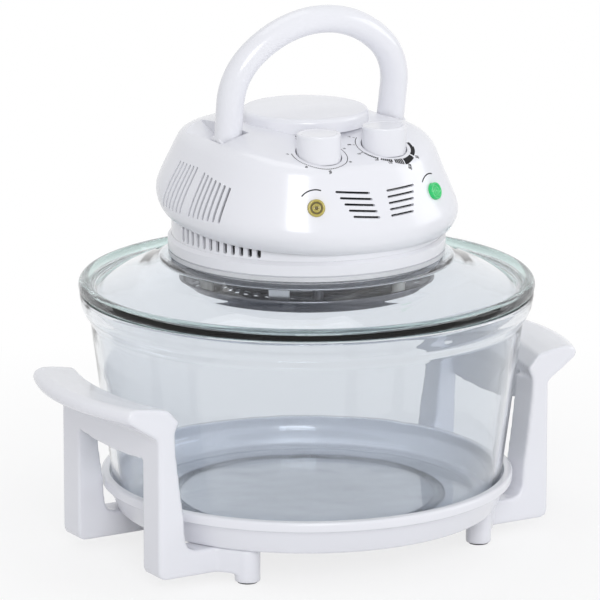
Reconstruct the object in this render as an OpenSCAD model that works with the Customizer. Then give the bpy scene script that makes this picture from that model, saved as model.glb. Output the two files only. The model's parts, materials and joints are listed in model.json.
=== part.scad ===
// Tabletop halogen oven. A glass bowl stands in a white tray between two grips, and a
// glass lid carries the heating head with its fans, ring lamp, timer and thermostat.
// Millimetres, +Z up, origin on the table under the bowl's axis, controls towards -Y.

/* [Stand] */
// Height of the tray's underside above the table
tray_z = 25.6; // [24:0.2:32]
// How far the tray's rim lies inside the bowl's rim
tray_inset = 14.5; // [12:0.1:17]
// Height of the tray from underside to rim
tray_h = 26.3; // [22:0.1:30]
// Thickness of the tray's floor
tray_floor = 3.4; // [2.5:0.1:5]
// Thickness of the tray's wall
tray_wall = 2.8; // [2:0.1:4]
// Diameter of each foot
foot_d = 18.5; // [17:0.5:22]
// Distance of each foot from the middle, left to right
foot_x = 97; // [92:1:102]
// Distance of each foot from the middle, front to back
foot_y = 81; // [78:1:84]
// Width of each upright post
post_w = 24.4; // [18:0.2:30]
// Free width between the two posts of a grip
post_gap = 94; // [80:1:104]
// How far the posts' outer faces lie inside the bowl's rim
post_inset = 1.3; // [0:0.1:3]
// Height of the grip's top edge above the table
grip_z = 135; // [128:1:145]
// How far the grip's outer edge stands out past the posts
grip_out = 40; // [36:1:46]

/* [Bowl] */
// Diameter over the bowl's rim
bowl_d = 328.6; // [326:0.2:332]
// Height of the bowl
bowl_h = 157; // [145:1:180]
// Thickness of the bowl's glass
bowl_glass = 5; // [4:0.2:7]
// Height of the thick rim
rim_h = 20.5; // [17:0.5:24]
// Radius of the curve between wall and base
bowl_fillet = 20; // [16:1:24]

/* [Lid] */
// How far the lid's bead stands out past the bowl's rim
lid_over = 0.7; // [0.2:0.1:2]
// Height of the bead round the lid
bead_h = 9.2; // [8:0.2:11]
// Rise of the lid from its seat to its collar
lid_rise = 28; // [24:0.5:34]
// Thickness of the lid's glass
lid_glass = 4.8; // [4:0.2:6]
// Width of the lid's flat collar round its hole
collar_w = 15.5; // [14:0.5:18]
// Diameter of the hole in the lid
lid_hole_d = 172; // [166:1:176]
// Depth of the step that keeps the lid centred in the bowl
lid_step = 2.6; // [2:0.2:4]

/* [Head] */
// Diameter of the head's base ring
band_d = 200.4; // [199:0.2:204]
// Height of the base ring's wide band
band_h = 11; // [8:0.5:14]
// Diameter of the base ring's slotted tier
tier_d = 195.2; // [192:0.4:196]
// Height of the whole base ring
ring_h = 35; // [33:0.5:38]
// Half width of the housing at its widest
head_a = 102.7; // [102:0.1:106]
// Squareness of the housing's plan, 2 is round
plan_n = 2.6; // [2.2:0.1:3]
// Wall thickness of the housing
head_wall = 2.5; // [2:0.1:3]
// Height of the control panel above the head's base, at the knobs' front edge
panel_rise = 77; // [74:0.5:79]
// Slope of the control panel, rise per length
panel_slope = 0.306; // [0.2:0.01:0.4]
// Diameter of the raised deck
deck_d = 92; // [80:1:96]
// Height of the deck above the head's base
deck_rise = 103; // [100:0.5:110]
// Width of each vertical slot in the base ring
ring_slot = 3.3; // [2:0.1:4]
// Angle between two slots of the base ring
ring_slot_pitch = 4; // [3.5:0.1:6]
// Width of each vent slot in the housing's sides
side_vent = 2.2; // [1.5:0.1:3]
// Height of each vent slot in the housing's front
front_vent = 1.6; // [1:0.1:2.5]

/* [Carry handle] */
// Diameter of the handle's tube
handle_d = 20; // [18:0.5:22]
// Height of the handle's pivot above the head's base
pivot_rise = 80; // [78:0.5:82]
// Distance of the pivot behind the middle
pivot_y = -3; // [-5:0.5:1]
// Height of the handle's crown line above its pivot
crown_rise = 90; // [84:1:100]
// Radius of the handle's crown
crown_r = 77; // [74:1:84]
// Radius of the handle's shoulders
shoulder_r = 47; // [42:0.5:50]
// Angle over which each half of the crown runs
crown_angle = 44.5; // [42:0.5:50]
// Angle by which the legs lean towards each other
leg_lean = 1; // [0:0.5:4]
// Angle by which the raised handle leans to the front
handle_lean = 9; // [0:1:12]
// Angle from upright to which the handle folds at the rear
handle_fold = 70; // [60:1:72]
// Diameter of the pivot pins
pin_d = 6; // [5:0.5:7]

/* [Knobs and lamps] */
// Diameter of each knob
knob_d = 31.5; // [28:0.5:33]
// Height of each knob
knob_h = 20.4; // [16:0.2:24]
// Distance of each knob from the middle, left to right
knob_x = 27; // [24:0.5:28]
// Distance of each knob in front of the middle
knob_y = 62; // [60:0.5:64]
// Diameter of each knob's shaft
knob_shaft_d = 6; // [5:0.5:7]
// Diameter of each signal lamp
lens_d = 12.6; // [10:0.2:14]
// Half the distance between the signal lamps
lens_x = 50.2; // [44:0.2:52]
// How far to the right of the middle the pair of signal lamps sits
lens_shift = 4.7; // [0:0.1:6]
// Height of the signal lamps above the head's base
lens_rise = 50.5; // [46:0.5:56]

/* [Heater and guard] */
// Radius of the ring lamp
lamp_r = 63; // [60:0.5:64]
// Diameter of the lamp's quartz tube
lamp_d = 7.6; // [7:0.2:9]
// Height of the lamp under the head's base
lamp_drop = 21.5; // [20.5:0.1:22]
// Direction of the lamp's two sockets
lamp_angle = 65; // [60:1:70]
// Diameter over the guard dish's rim
guard_d = 184.6; // [180:0.2:188]
// Height of the guard dish's rim under the head's base
guard_drop = 22; // [20:0.5:24]
// Depth of the guard dish
guard_depth = 8; // [7.6:0.2:12]
// Thickness of the sheet steel
sheet = 1.2; // [0.8:0.1:1.5]

/* [Fans and motor] */
// Diameter of the motor's shaft
shaft_d = 5; // [4:0.5:6]
// Diameter of the cooling fan in the head
cooling_fan_d = 100; // [80:1:104]
// Diameter of the fan that stirs the hot air
hot_fan_d = 92; // [70:1:96]
// Number of blades on each fan
blades = 9; // [6:1:12]
// Width of the motor's core
core_w = 56; // [54:1:60]
// Height of the motor's core
core_h = 20; // [16:1:22]

/* [Inlet] */
// Inner diameter of the cable bushing
bushing_bore = 7.2; // [6:0.2:8]
// Length of the cable bushing
bushing_len = 18; // [16:0.5:22]

/* [Hidden] */
$fn = 72;
eps = 0.01;
through = 1;            // how far a cut runs past the face it opens
fit = 0.05;             // radial clearance of a shaft in its hole
loose = 0.1;            // radial clearance of a screw or a plug in its hole
gap = 0.4;              // gap between a moving piece and what it passes
mould_round = 1.5;      // small rounding on moulded edges
white = [0.93, 0.94, 0.96];
steel = [0.72, 0.73, 0.75];
dark_steel = [0.22, 0.22, 0.24];
ceramic = [0.72, 0.72, 0.70];
dark_plastic = [0.10, 0.10, 0.11];
brass = [0.80, 0.66, 0.35];

// Stand
tray_r = bowl_d / 2 - tray_inset;
tray_lip = 3.8;                        // how far the rim stands out past the wall
tray_lip_h = 7.4;
tray_flare = 8.6;                      // how much wider the wall is at the rim than at the base
tray_wall_r = tray_r - tray_lip;
tray_base_r = tray_wall_r - tray_flare;
tray_rim_z = tray_z + tray_h;
seat_z = tray_z + tray_floor;
peg_r = 4.5;                           // pegs under the tray that plug into the feet
peg_h = 11.8;
foot_r = foot_d / 2;
foot_lift = 0.8;                       // the pad stands out this far under the foot
pad_r = 7;
pad_h = 3.2;
foot_screw_r = 2;
foot_head_r = 3.7;
foot_head_h = 3.5;
foot_head_z = 8;                       // seat of the screw's head inside the foot
arm_z = 7.5;                           // underside of the arms
arm_end_x = foot_x + foot_d / 2 + 1;
post_x = bowl_d / 2 - post_inset;      // outer faces of the posts
grip_reach = post_x + grip_out;
post_y = post_gap / 2;
post_edge_y = post_y + post_w;
post_foot_t = 22;                      // thickness of a post at the arm
post_top_t = 13.5;                     // thickness of a post under the grip
grip_base_z = grip_z - 25;
apron_t = 4.5;
apron_h = 21.5;
apron_sag = 3;
grip_inset = 17.6;                     // how far the grip's inner edge lies inside the posts' outer faces
grip_bow = 16;                         // how far the grip's outer edge bows out
grip_inner_bow = 11.6;                 // how far its inner edge bows out round the bowl

// Bowl
bowl_r = bowl_d / 2;
bowl_rim_z = seat_z + bowl_h;
rim_under_r = bowl_r - 7.5;            // wall radius just under the thick rim
bowl_taper = 0.13;
wall_top_h = bowl_h - rim_h;
bowl_side_r = rim_under_r - bowl_taper * (wall_top_h - bowl_fillet);
fillet_r = bowl_side_r - bowl_fillet;  // radius at which the base curve starts
rim_inner_r = bowl_r - 7.1;

// Lid
lid_z = bowl_rim_z;
lid_r = bowl_r + lid_over;
lid_hole_r = lid_hole_d / 2;
collar_r = lid_hole_r + collar_w;
collar_z = lid_z + lid_rise;
step_r = rim_inner_r - 1;
gasket_h = 3;
lower_gasket_h = 1.2;
dome_edge_r = lid_r - 13;
dome_edge_h = 2.3;
dome_shape = [[1, 0], [0.762, 0.268], [0.505, 0.482], [0.307, 0.626], [0.149, 0.805], [0, 1]];

// Head, measured up from its base
head_z = collar_z + gasket_h;
band_r = band_d / 2;
tier_r = tier_d / 2;
tier_wall = 2.6;
flange_h = 3;
flange_r = 56;                         // inner radius of the base ring's flange
ring_post_xy = 60.8;                   // posts for the housing's screws, each way from the middle
ring_post_r = 4.5;
ring_post_h = 45;
ring_slot_z = head_z + band_h + 1.5;
ring_slot_h = 14;
ring_slots = 12;                       // slots in each side group
rear_slots = 7;
ring_slot_first = 51;                  // angle of the first side slot from the front
tilt = 6.5;                              // how much lower the housing's edge is in front
panel_y = -(knob_y + 16);
panel_z = head_z + panel_rise;
panel_blend = 5;
deck_y = 3;
deck_z = head_z + deck_rise;
deck_crown = 1.6;
deck_round = 3;
// housing sections from the lower edge up: [narrower than head_a by, height, share of the tilt,
// how far the wall is measured downwards there, how much rounder the plan is]
head_rows = [
    [3.1, 22, 1, 0, 0.4], [1.3, 24.5, 1, 0, 0.35], [0.1, 29, 1, 0, 0.25], [0.3, 35, 1, 0, 0.1],
    [1.8, 41, 1, 0, 0], [4.4, 48.5, 1, 0.05, 0], [7.3, 55.5, 0.95, 0.1, 0], [10.9, 64, 0.85, 0.2, 0],
    [14.1, 72, 0.7, 0.3, 0], [17.4, 79, 0.52, 0.5, 0], [22.1, 84, 0.32, 0.8, 0], [28.7, 87.6, 0.16, 1, 0],
    [36.7, 90.3, 0.06, 1, 0], [46.7, 92.6, 0, 1, 0], [60.7, 94.4, 0, 1, 0], [82.7, 95.4, 0, 1, 0]
];
outer_sides = 72;
inner_sides = 48;
boss_r = 4.5;
housing_screw_r = 2;
housing_head_r = 3.7;
housing_head_h = 3.2;
housing_grip = 12;                     // thread length in the housing's boss

// Vents
side_vent_angles = [for (i = [0:6]) 65.5 + 3.1 * i, for (i = [0:5]) 91 + 3.1 * i];
side_vent_z = 34.3;                    // lower and upper ends of the slots at the sides
side_vent_top_z = 68.5;
side_vent_lean = 9;                    // how far the slots lean forwards
side_vent_rise = 0.07;                 // how much the lower end rises a degree towards the front
side_vent_drop = 0.3;                  // how much the upper end drops a degree towards the front
front_vent_rows = 5;
front_vent_z = 39.4;                   // height of the lowest row
front_vent_pitch = 4.2;
// lowest row's inner and outer end, how far each shifts in the row above, and how steeply it rises
left_vent = [1.4, -20, -1.1, -2.5, 7];
right_vent = [10.8, 30.8, 0, 1.2, 2.2];

// Carry handle
handle_r = handle_d / 2;
pivot_z = head_z + pivot_rise;
crown_z = pivot_z + crown_rise - crown_r;
shoulder_x = (crown_r - shoulder_r) * sin(crown_angle);
shoulder_z = crown_z + (crown_r - shoulder_r) * cos(crown_angle);
leg_top_x = shoulder_x + shoulder_r * cos(leg_lean);
leg_top_z = shoulder_z - shoulder_r * sin(leg_lean);
leg_len = (leg_top_z - pivot_z) / cos(leg_lean);
hub_x = leg_top_x - leg_len * sin(leg_lean);
pin_r = pin_d / 2;
tube_sides = 24;
shoulder_steps = 8;
crown_steps = 14;
handle_turn = handle_fold + handle_lean;
well_wall = 2.5;
well_x0 = hub_x - handle_r - gap;      // inner side of the pocket
well_x1 = max(hub_x, leg_top_x) + handle_r + gap;   // outer side
well_r = handle_r + gap + 0.1;
well_back = 57;                        // how far the pocket reaches behind the pivot
pin_x0 = well_x0 - well_wall;
pin_x1 = well_x1 + 3.5;
cam_x = well_x0 - well_wall - 0.4;     // outer face of the cam on the left pin
cam_t = 6;
cam_r = 5;
cam_lift = 3;
cam_gap = 0.6;
cam_step = 5;
plunger_r = 1.5;
plunger_tip = 1.2;
plunger_len = 12;
switch_w = 9;
switch_l = 20;
switch_h = 19;
switch_z = pivot_z - cam_r - cam_lift - 2;   // top of the switch

// Knobs, shafts and lamps
knob_r = knob_d / 2;
knob_z = panel_z + 0.3 * gap - 0.1;
recess_z = knob_z - gap;
recess_r = knob_r + 0.85;
recess_floor = 2.5;
cup_r = recess_r + 2.2;
control_z = recess_z - recess_floor;   // where the timer and the thermostat are fastened
knob_shaft_r = knob_shaft_d / 2;
knob_shaft_in = 6;                     // length of each shaft inside its control
knob_shaft_out = 17;
knob_wall = 2.4;
knob_hub_r = knob_shaft_r + 2;
timer_w = 32;
timer_d = 28;
timer_h = 30;
bell_r = 13;
bell_h = 4;
bell_stud = 4;
thermostat_r = 15;
thermostat_h = 23;
control_screw_x = 8;
control_screw_r = 1.5;
capillary_r = 1;
capillary_h = 7;                       // height at which the capillary crosses the head
lens_r = lens_d / 2;
lens_z = head_z + lens_rise;
lens_pitch = 17;
lens_proud = 2.2;
lens_body = 6;
bulb_glass_r = 3;
bulb_glass_len = 9;

// Heater, guard and fans
plate_r = guard_d / 2 + 4.5;
drum_r = 72;
plate_z = collar_z - lid_glass - lower_gasket_h - sheet;  // underside of the plate's flange
plate_top_z = head_z;
plate_screw_r = 1.9;
plate_screw_ring = 64;
plate_screw_angles = [15, 105, 195, 285];
plate_head_r = 3.6;
plate_head_h = 2.2;
plate_boss_h = 7;
insulation_r = flange_r - 1;
lamp_z = head_z - lamp_drop;
quartz_wall = 1;
filament_r = 0.8;
socket_turn = 16;                      // angle from the lamp's break to each socket
socket_w = 14;
socket_t = 8;
clip_angles = [155, 245, 335];
clip_w = 5.8;
clip_t = 1.2;
guard_r = guard_d / 2;
guard_z = head_z - guard_drop;
guard_floor_z = guard_z - guard_depth;
guard_bead_r = 1.5;
guard_post_ring = 79;
guard_post_r = 4.7;
guard_post_angles = [55, 175, 295];
strap_ring = 84;
strap_angle = 226;
strap_w = 15;
probe_ring = 82.4;
probe_angle = 245.4;
probe_r = 2.9;
probe_x = probe_ring * cos(probe_angle);
probe_y = probe_ring * sin(probe_angle);
// rings of slots in the guard: [radius, slots, length, width]
guard_slots = [[79.5, 40, 9, 3.4], [61, 40, 8.5, 3], [44, 30, 8, 2.8], [27, 18, 7, 2.6]];
guard_slant = 50;
shaft_r = shaft_d / 2;
fan_hub_r = 7;
cooling_fan_z = head_z + flange_h + 4;
cooling_fan_h = 16;
hot_fan_z = lamp_z + 2.7;
hot_fan_h = 11;
blade_t = 1;
blade_twist = 32;
nut_r = 5;
nut_h = 4;
motor_post_xy = 45;
motor_post_r = 3.5;
motor_z = head_z + flange_h + 26;      // underside of the motor's bracket
bracket_t = 2;
core_z = motor_z + bracket_t;
core_d = core_w - 8;
bore_r = core_w / 2 - 12;
rotor_gap = 0.4;
coil_y = 28;
coil_t = 12;
leg_w = 20;
coil_build = 7;
bush_r = 5;
bush_h = 5;
hub_r = 8;
motor_screw_r = 1.9;
motor_screw_x = core_w / 2 - 6;

// Inlet
bushing_r = bushing_bore / 2 + 2;
bushing_z = head_z + band_h + 8;
bushing_flange_r = bushing_r + 2.6;
bushing_flange_t = 2.5;
block_y = 80;
block_w = 28;
block_d = 12;
block_h = 11;

// ---- shared shapes ----

module spun(points) rotate_extrude() polygon(points);

module at_angles(r, angles) {
    for (a = angles) rotate([0, 0, a]) translate([r, 0, 0]) children();
}

module both_sides() {
    children();
    mirror([1, 0, 0]) children();
}

module four(x, y) {
    for (sx = [-1, 1], sy = [-1, 1]) translate([sx * x, sy * y, 0]) children();
}

module rod(r, z0, z1) translate([0, 0, z0]) cylinder(r = r, h = z1 - z0);

module block(x0, x1, y0, y1, z0, z1) translate([x0, y0, z0]) cube([x1 - x0, y1 - y0, z1 - z0]);

// a bar along X from x0 to x1
module x_rod(r, x0, x1) translate([x0, 0, 0]) rotate([0, 90, 0]) cylinder(r = r, h = x1 - x0);

// a solid through rings of points, all with the same number of points
module loft(rings) {
    m = len(rings[0]);
    k = len(rings);
    sides = [for (j = [0:k - 2], i = [0:m - 1]) let (n = (i + 1) % m)
        each [[j * m + i, (j + 1) * m + i, (j + 1) * m + n], [j * m + i, (j + 1) * m + n, j * m + n]]];
    ends = [[for (i = [0:m - 1]) i], [for (i = [m - 1:-1:0]) (k - 1) * m + i]];
    polyhedron([for (r = rings) each r], concat(sides, ends));
}

// ---- stand ----

function tray_side_r(z) = tray_base_r + tray_flare * (z - tray_z) / (tray_h - tray_lip_h);

module stand_tray() color(white) {
    lip_z = tray_rim_z - tray_lip_h;
    inner_r = tray_wall_r - tray_wall;
    difference() {
        union() {
            spun([[0, tray_z], [tray_base_r, tray_z], [tray_wall_r, lip_z], [tray_r - 1, lip_z],
                  [tray_r, lip_z + 1], [tray_r, tray_rim_z - mould_round],
                  [tray_r - mould_round, tray_rim_z], [inner_r + 1, tray_rim_z],
                  [inner_r, tray_rim_z - 1], [inner_r, lip_z],
                  [tray_side_r(seat_z) - tray_wall - 0.5, seat_z], [0, seat_z]]);
            four(foot_x, foot_y) rod(peg_r, tray_z - peg_h, tray_z + eps);
        }
        four(foot_x, foot_y) rod(foot_screw_r + fit, tray_z - peg_h - through, tray_z - 1.5);
    }
}

// how far a section at y bows out, 1 in the middle and 0 at the ends
function bow(y) = 1 - pow(y / post_edge_y, 2);

// the grip's section at y, bowed out in the middle
function grip_section(y) = let (s = bow(y), z = grip_z, x = grip_reach - grip_bow,
        inner = post_x - grip_inset)
    [for (p = [
        [post_x - post_top_t + 9 * s, grip_base_z + 2], [inner + grip_inner_bow * s, z - 13.7],
        [inner + 8.6 + grip_inner_bow * s, z - 4], [inner + 20.6 + 13 * s, z - 1.5],
        [x - 7.5 + 15 * s, z], [x - 2 + grip_bow * s, z - 2], [x + grip_bow * s, z - 6],
        [x - 1.5 + grip_bow * s, z - 9.5], [x - 12 + 8 * s, z - 17], [post_x, grip_base_z]
    ]) [p[0], y, p[1]]];

module bracket() {
    post_in_x = post_x - post_foot_t;
    corner = 8;
    difference() {
        union() {
            for (y = [-post_edge_y, post_y]) translate([0, y + post_w, 0]) rotate([90, 0, 0])
                linear_extrude(post_w) polygon([
                    [arm_end_x, arm_z], [post_x - 5, arm_z], [post_x - 1.5, arm_z + 1.5],
                    [post_x, arm_z + 5], [post_x, grip_base_z + 1],
                    [post_x - post_top_t, grip_base_z + 3], [post_x - post_top_t - 0.5, tray_z + 75],
                    [post_in_x + 4.5, tray_z + 46], [post_in_x + 1.7, tray_rim_z],
                    [post_in_x + 0.4, tray_z + corner], [post_in_x - 2, tray_z + 2.5],
                    [post_in_x - corner, tray_z], [arm_end_x, tray_z]]);
            loft([for (i = [-8:8]) grip_section(post_edge_y * i / 8)]);
            // apron between the posts, its lower edge sagging in the middle
            translate([post_x - apron_t, 0, 0]) rotate([90, 0, 90]) linear_extrude(apron_t)
                polygon(concat([for (i = [-6:6]) let (t = i / 6)
                    [t * (post_y + 1), grip_base_z - apron_h + apron_sag * t * t]],
                    [[post_y + 1, grip_base_z + 2], [-post_y - 1, grip_base_z + 2]]));
            for (s = [-1, 1]) translate([foot_x, s * foot_y, 0]) rod(foot_r, foot_lift, tray_z);
            for (s = [-1, 1]) translate([0, 0, arm_z]) linear_extrude(tray_z - arm_z)
                polygon([[arm_end_x + 9, s * post_edge_y], [foot_x + 6, s * (foot_y + 6.8)],
                         [foot_x - 7, s * (foot_y - 5)], [arm_end_x - 1, s * (post_y + 3)],
                         [arm_end_x + 9, s * post_y]]);
        }
        for (s = [-1, 1]) translate([foot_x, s * foot_y, 0]) {
            rod(pad_r + loose, foot_lift - through, pad_h);
            rod(foot_head_r + 0.3, 0, foot_head_z);
            rod(foot_screw_r + loose, 0, tray_z);
            rod(peg_r + loose, tray_z - peg_h - 0.4, tray_z + through);
        }
    }
}

module bracket_right() color(white) bracket();

module bracket_left() color(white) mirror([1, 0, 0]) bracket();

module foot_screws() color(steel) four(foot_x, foot_y) {
    rod(foot_head_r, foot_head_z - foot_head_h, foot_head_z);
    rod(foot_screw_r, foot_head_z - eps, tray_z - 3);
}

module foot_pads() color(dark_plastic) four(foot_x, foot_y) rod(pad_r, 0, pad_h);

// ---- bowl and lid ----

// points of the bowl's base curve, moved inwards by t
function base_curve(t) = [for (i = [0:6]) let (a = -90 + 82.6 * i / 6)
    [fillet_r + (bowl_fillet - t) * cos(a), seat_z + bowl_fillet + (bowl_fillet - t) * sin(a)]];

module glass_bowl() color([0.80, 0.88, 0.90, 0.35]) {
    under_z = seat_z + wall_top_h;
    spun(concat(
        [[0, seat_z]], base_curve(0),
        [[rim_under_r, under_z], [rim_under_r + 2, under_z + 2.9], [bowl_r - 1.6, under_z + 8.1],
         [bowl_r, bowl_rim_z - 1.5], [bowl_r - 1.2, bowl_rim_z], [rim_inner_r, bowl_rim_z],
         [rim_inner_r - 0.4, bowl_rim_z - 5], [rim_under_r - bowl_glass, under_z]],
        [for (i = [6:-1:0]) base_curve(bowl_glass)[i]],
        [[0, seat_z + bowl_glass]]));
}

// the domed glass from the collar out to the rim, measured at height h above its lower face
function dome(h) = [for (p = dome_shape)
    [collar_r + (dome_edge_r - collar_r) * p[0],
     lid_z + dome_edge_h + (lid_rise - dome_edge_h) * p[1] - lid_glass + h]];

module glass_lid() color([0.80, 0.88, 0.90, 0.35]) {
    top = dome(lid_glass);
    under = dome(0);
    n = len(dome_shape);
    spun(concat(
        [[step_r, lid_z], [lid_r - 2.5, lid_z], [lid_r - 0.6, lid_z + 1.4], [lid_r, lid_z + bead_h / 2],
         [lid_r - 0.9, lid_z + bead_h - 2], [lid_r - 3, lid_z + bead_h - 0.3],
         [lid_r - 5.5, lid_z + bead_h], [lid_r - 8, lid_z + bead_h - 1.2],
         [lid_r - 9.7, lid_z + bead_h - 4.2], [lid_r - 10.6, lid_z + dome_edge_h + 0.4]],
        top,
        [[lid_hole_r, collar_z], [lid_hole_r, collar_z - lid_glass]],
        [for (i = [n - 1:-1:0]) under[i]],
        [[dome_edge_r + 1.5, lid_z - lid_step], [step_r, lid_z - lid_step]]));
}

// ---- head shells ----

module upper_gasket() color(dark_steel) translate([0, 0, collar_z]) difference() {
    cylinder(r = min(collar_r, band_r) - 0.3, h = gasket_h);
    translate([0, 0, -through]) cylinder(r = lid_hole_r + 1, h = gasket_h + 2 * through);
}

module lower_gasket() color(dark_plastic) {
    translate([0, 0, collar_z - lid_glass - lower_gasket_h]) difference() {
        cylinder(r = plate_r, h = lower_gasket_h);
        translate([0, 0, -through]) cylinder(r = lid_hole_r + 1, h = lower_gasket_h + 2 * through);
    }
}

// a rounded slot through the tier's wall, open upwards
module ring_slot_cut() translate([tier_r - tier_wall - 2, 0, 0]) {
    translate([0, -ring_slot / 2, ring_slot_z + ring_slot / 2])
        cube([tier_wall + 4, ring_slot, ring_slot_h]);
    translate([0, 0, ring_slot_z + ring_slot / 2]) rotate([0, 90, 0])
        cylinder(d = ring_slot, h = tier_wall + 4);
}

module base_ring() color(white) {
    side = [for (i = [0:ring_slots - 1]) ring_slot_first + ring_slot_pitch * i];
    rear = [for (i = [0:rear_slots - 1]) 150 + (60 / (rear_slots - 1)) * i];
    tier_in_r = tier_r - tier_wall;
    difference() {
        union() {
            spun([[flange_r, head_z], [band_r - 1.2, head_z], [band_r, head_z + 1.2],
                  [band_r, head_z + band_h - 2.5], [band_r - 2.5, head_z + band_h], [tier_r, head_z + band_h],
                  [tier_r, head_z + ring_h], [tier_in_r, head_z + ring_h],
                  [tier_in_r, head_z + flange_h], [flange_r, head_z + flange_h]]);
            four(ring_post_xy, ring_post_xy) rod(ring_post_r, head_z, head_z + ring_post_h);
            at_angles(plate_screw_ring, plate_screw_angles) rod(4, head_z, head_z + plate_boss_h);
        }
        at_angles(0, [for (a = side) each [a - 90, -a - 90], for (a = rear) a - 90]) ring_slot_cut();
        four(ring_post_xy, ring_post_xy) {
            rod(housing_head_r + 0.2, head_z - through, head_z + ring_post_h - 7);
            rod(housing_screw_r + loose, head_z, head_z + ring_post_h + through);
        }
        at_angles(plate_screw_ring, plate_screw_angles)
            rod(plate_screw_r + fit, head_z - through, head_z + plate_boss_h - 1);
        translate([probe_x, probe_y, 0])
            rod(capillary_r + 0.6, head_z - through, head_z + flange_h + through);
        translate([0, 0, bushing_z]) rotate([-90, 0, 0])
            cylinder(r = bushing_r + loose, h = tier_r + through);
    }
}

// radius of the housing's plan in direction q for half width a
function plan(a, q, n = plan_n) = a / pow(pow(abs(cos(q)), n) + pow(abs(sin(q)), n), 1 / n);

// height of the sloping control panel at y
function panel(y) = panel_z + panel_slope * (y - panel_y);

// the lower of two heights, with a soft edge between them
function soft_min(a, b) = let (h = max(panel_blend - abs(a - b), 0) / panel_blend)
    min(a, b) - h * h * panel_blend / 4;

// one section of the housing, moved inwards by t
function head_ring(row, t, sides) = let (a = head_a - row[0] - t)
    [for (i = [0:sides - 1]) let (q = 360 * i / sides, r = plan(a, q, plan_n - row[4]), y = r * sin(q),
        z = head_z + row[1] + tilt * row[2] * y / a)
        [r * cos(q), y, soft_min(z - t * row[3], panel(y) - t)]];

module head_solid(t, sides) {
    lowest = [head_rows[0][0], head_rows[0][1] - 6, 1, 0, head_rows[0][4]];
    loft([for (row = t > 0 ? concat([lowest], head_rows) : head_rows) head_ring(row, t, sides)]);
}

// half width of the housing at height h above its base
function half_width(h) = head_a - lookup(h, [for (r = head_rows) [r[1], r[0]]]);

// y of the housing's front face at x and height h, allowing for its tilt
function front_y(x, h) = let (a = half_width(h + 0.85 * tilt))
    -pow(pow(a, plan_n) - pow(abs(x), plan_n), 1 / plan_n);

module at_lens(side) {
    x = side * lens_x + lens_shift;
    y = front_y(x, lens_rise);
    yaw = atan(pow(abs(x / y), plan_n - 1));
    translate([x, y, lens_z]) rotate([0, 0, side * yaw]) rotate([90 - lens_pitch, 0, 0]) children();
}

// the space that a handle leg and its hub sweep, from raised to folded
module well_cut() {
    tangent = [pivot_y + well_r * cos(handle_fold), pivot_z - well_r * sin(handle_fold)];
    front = [pivot_y - well_r * cos(handle_lean), pivot_z - well_r * sin(handle_lean)];
    run = 90;
    translate([well_x0, 0, 0]) rotate([90, 0, 90]) linear_extrude(well_x1 - well_x0)
        polygon([front, [pivot_y, pivot_z - 1], tangent,
                 [tangent[0] + run * sin(handle_fold), tangent[1] + run * cos(handle_fold)],
                 [front[0] - run * sin(handle_lean), front[1] + run * cos(handle_lean)]]);
    translate([0, pivot_y, pivot_z]) x_rod(well_r, well_x0, well_x1);
}

// solid round each pocket, joined to the housing
module well_block() {
    block(well_x0 - well_wall, well_x1 + 4, pivot_y - well_r - well_wall, pivot_y + well_back - 4,
          pivot_z - well_r - well_wall, pivot_z + 20);
}

module front_vent_cut(row, group) {
    inner = group[0] + group[2] * row;
    run = group[1] + group[3] * row - inner;
    translate([inner, 0, head_z + front_vent_z + front_vent_pitch * row])
        rotate([0, -sign(run) * group[4], 0])
        block(min(0, run), max(0, run), -head_a - through, -70, 0, front_vent);
}

module side_vent_cut(side, angle) {
    front = max(90 - angle, 0);
    low = side_vent_z + side_vent_rise * front;
    high = side_vent_top_z - side_vent_drop * front;
    rotate([0, 0, side * angle - 90]) translate([0, 0, head_z + (low + high) / 2])
        rotate([side * side_vent_lean, 0, 0])
        block(head_a - 26, head_a + 12, -side_vent / 2, side_vent / 2, (low - high) / 2, (high - low) / 2);
}

module upper_housing() color(white) difference() {
    union() {
        difference() {
            head_solid(0, outer_sides);
            difference() {
                head_solid(head_wall, inner_sides);
                both_sides() well_block();
                both_sides() translate([knob_x, -knob_y, 0]) rod(cup_r, control_z, panel_z + 30);
                four(ring_post_xy, ring_post_xy) rod(boss_r, head_z + ring_post_h, deck_z);
            }
        }
        translate([0, deck_y, 0]) rotate_extrude() polygon([
            [0, deck_z - 12], [deck_d / 2, deck_z - 12], [deck_d / 2, deck_z - deck_crown - deck_round],
            [deck_d / 2 - 0.9, deck_z - deck_crown - 0.9], [deck_d / 2 - deck_round, deck_z - deck_crown],
            [deck_d / 4, deck_z - deck_crown / 4], [0, deck_z]]);
    }
    both_sides() well_cut();
    both_sides() translate([0, pivot_y, pivot_z]) x_rod(pin_r + fit, pin_x0 - 4, pin_x1);
    both_sides() translate([knob_x, -knob_y, 0]) {
        rod(recess_r, recess_z, panel_z + 30);
        rod(knob_shaft_r + 1, control_z - through, panel_z);
        for (s = [-1, 1]) translate([s * control_screw_x, 0, 0])
            rod(control_screw_r + loose, control_z - through, panel_z);
    }
    four(ring_post_xy, ring_post_xy)
        rod(housing_screw_r + fit, head_z + ring_post_h - through, head_z + ring_post_h + housing_grip + 1);
    for (s = [-1, 1]) at_lens(s) translate([0, 0, -lens_body - 6]) cylinder(r = lens_r + loose, h = 30);
    for (row = [0:front_vent_rows - 1], group = [left_vent, right_vent]) front_vent_cut(row, group);
    for (a = side_vent_angles, s = [-1, 1]) side_vent_cut(s, a);
    translate([0, 0, head_z - through]) cylinder(r = tier_r + 0.15, h = ring_h + through + 0.5);
}

module housing_screws() color(steel) four(ring_post_xy, ring_post_xy) {
    seat = head_z + ring_post_h - 7;
    rod(housing_head_r, seat - housing_head_h, seat);
    rod(housing_screw_r, seat - eps, head_z + ring_post_h + housing_grip);
}

// ---- plate under the head ----

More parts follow.
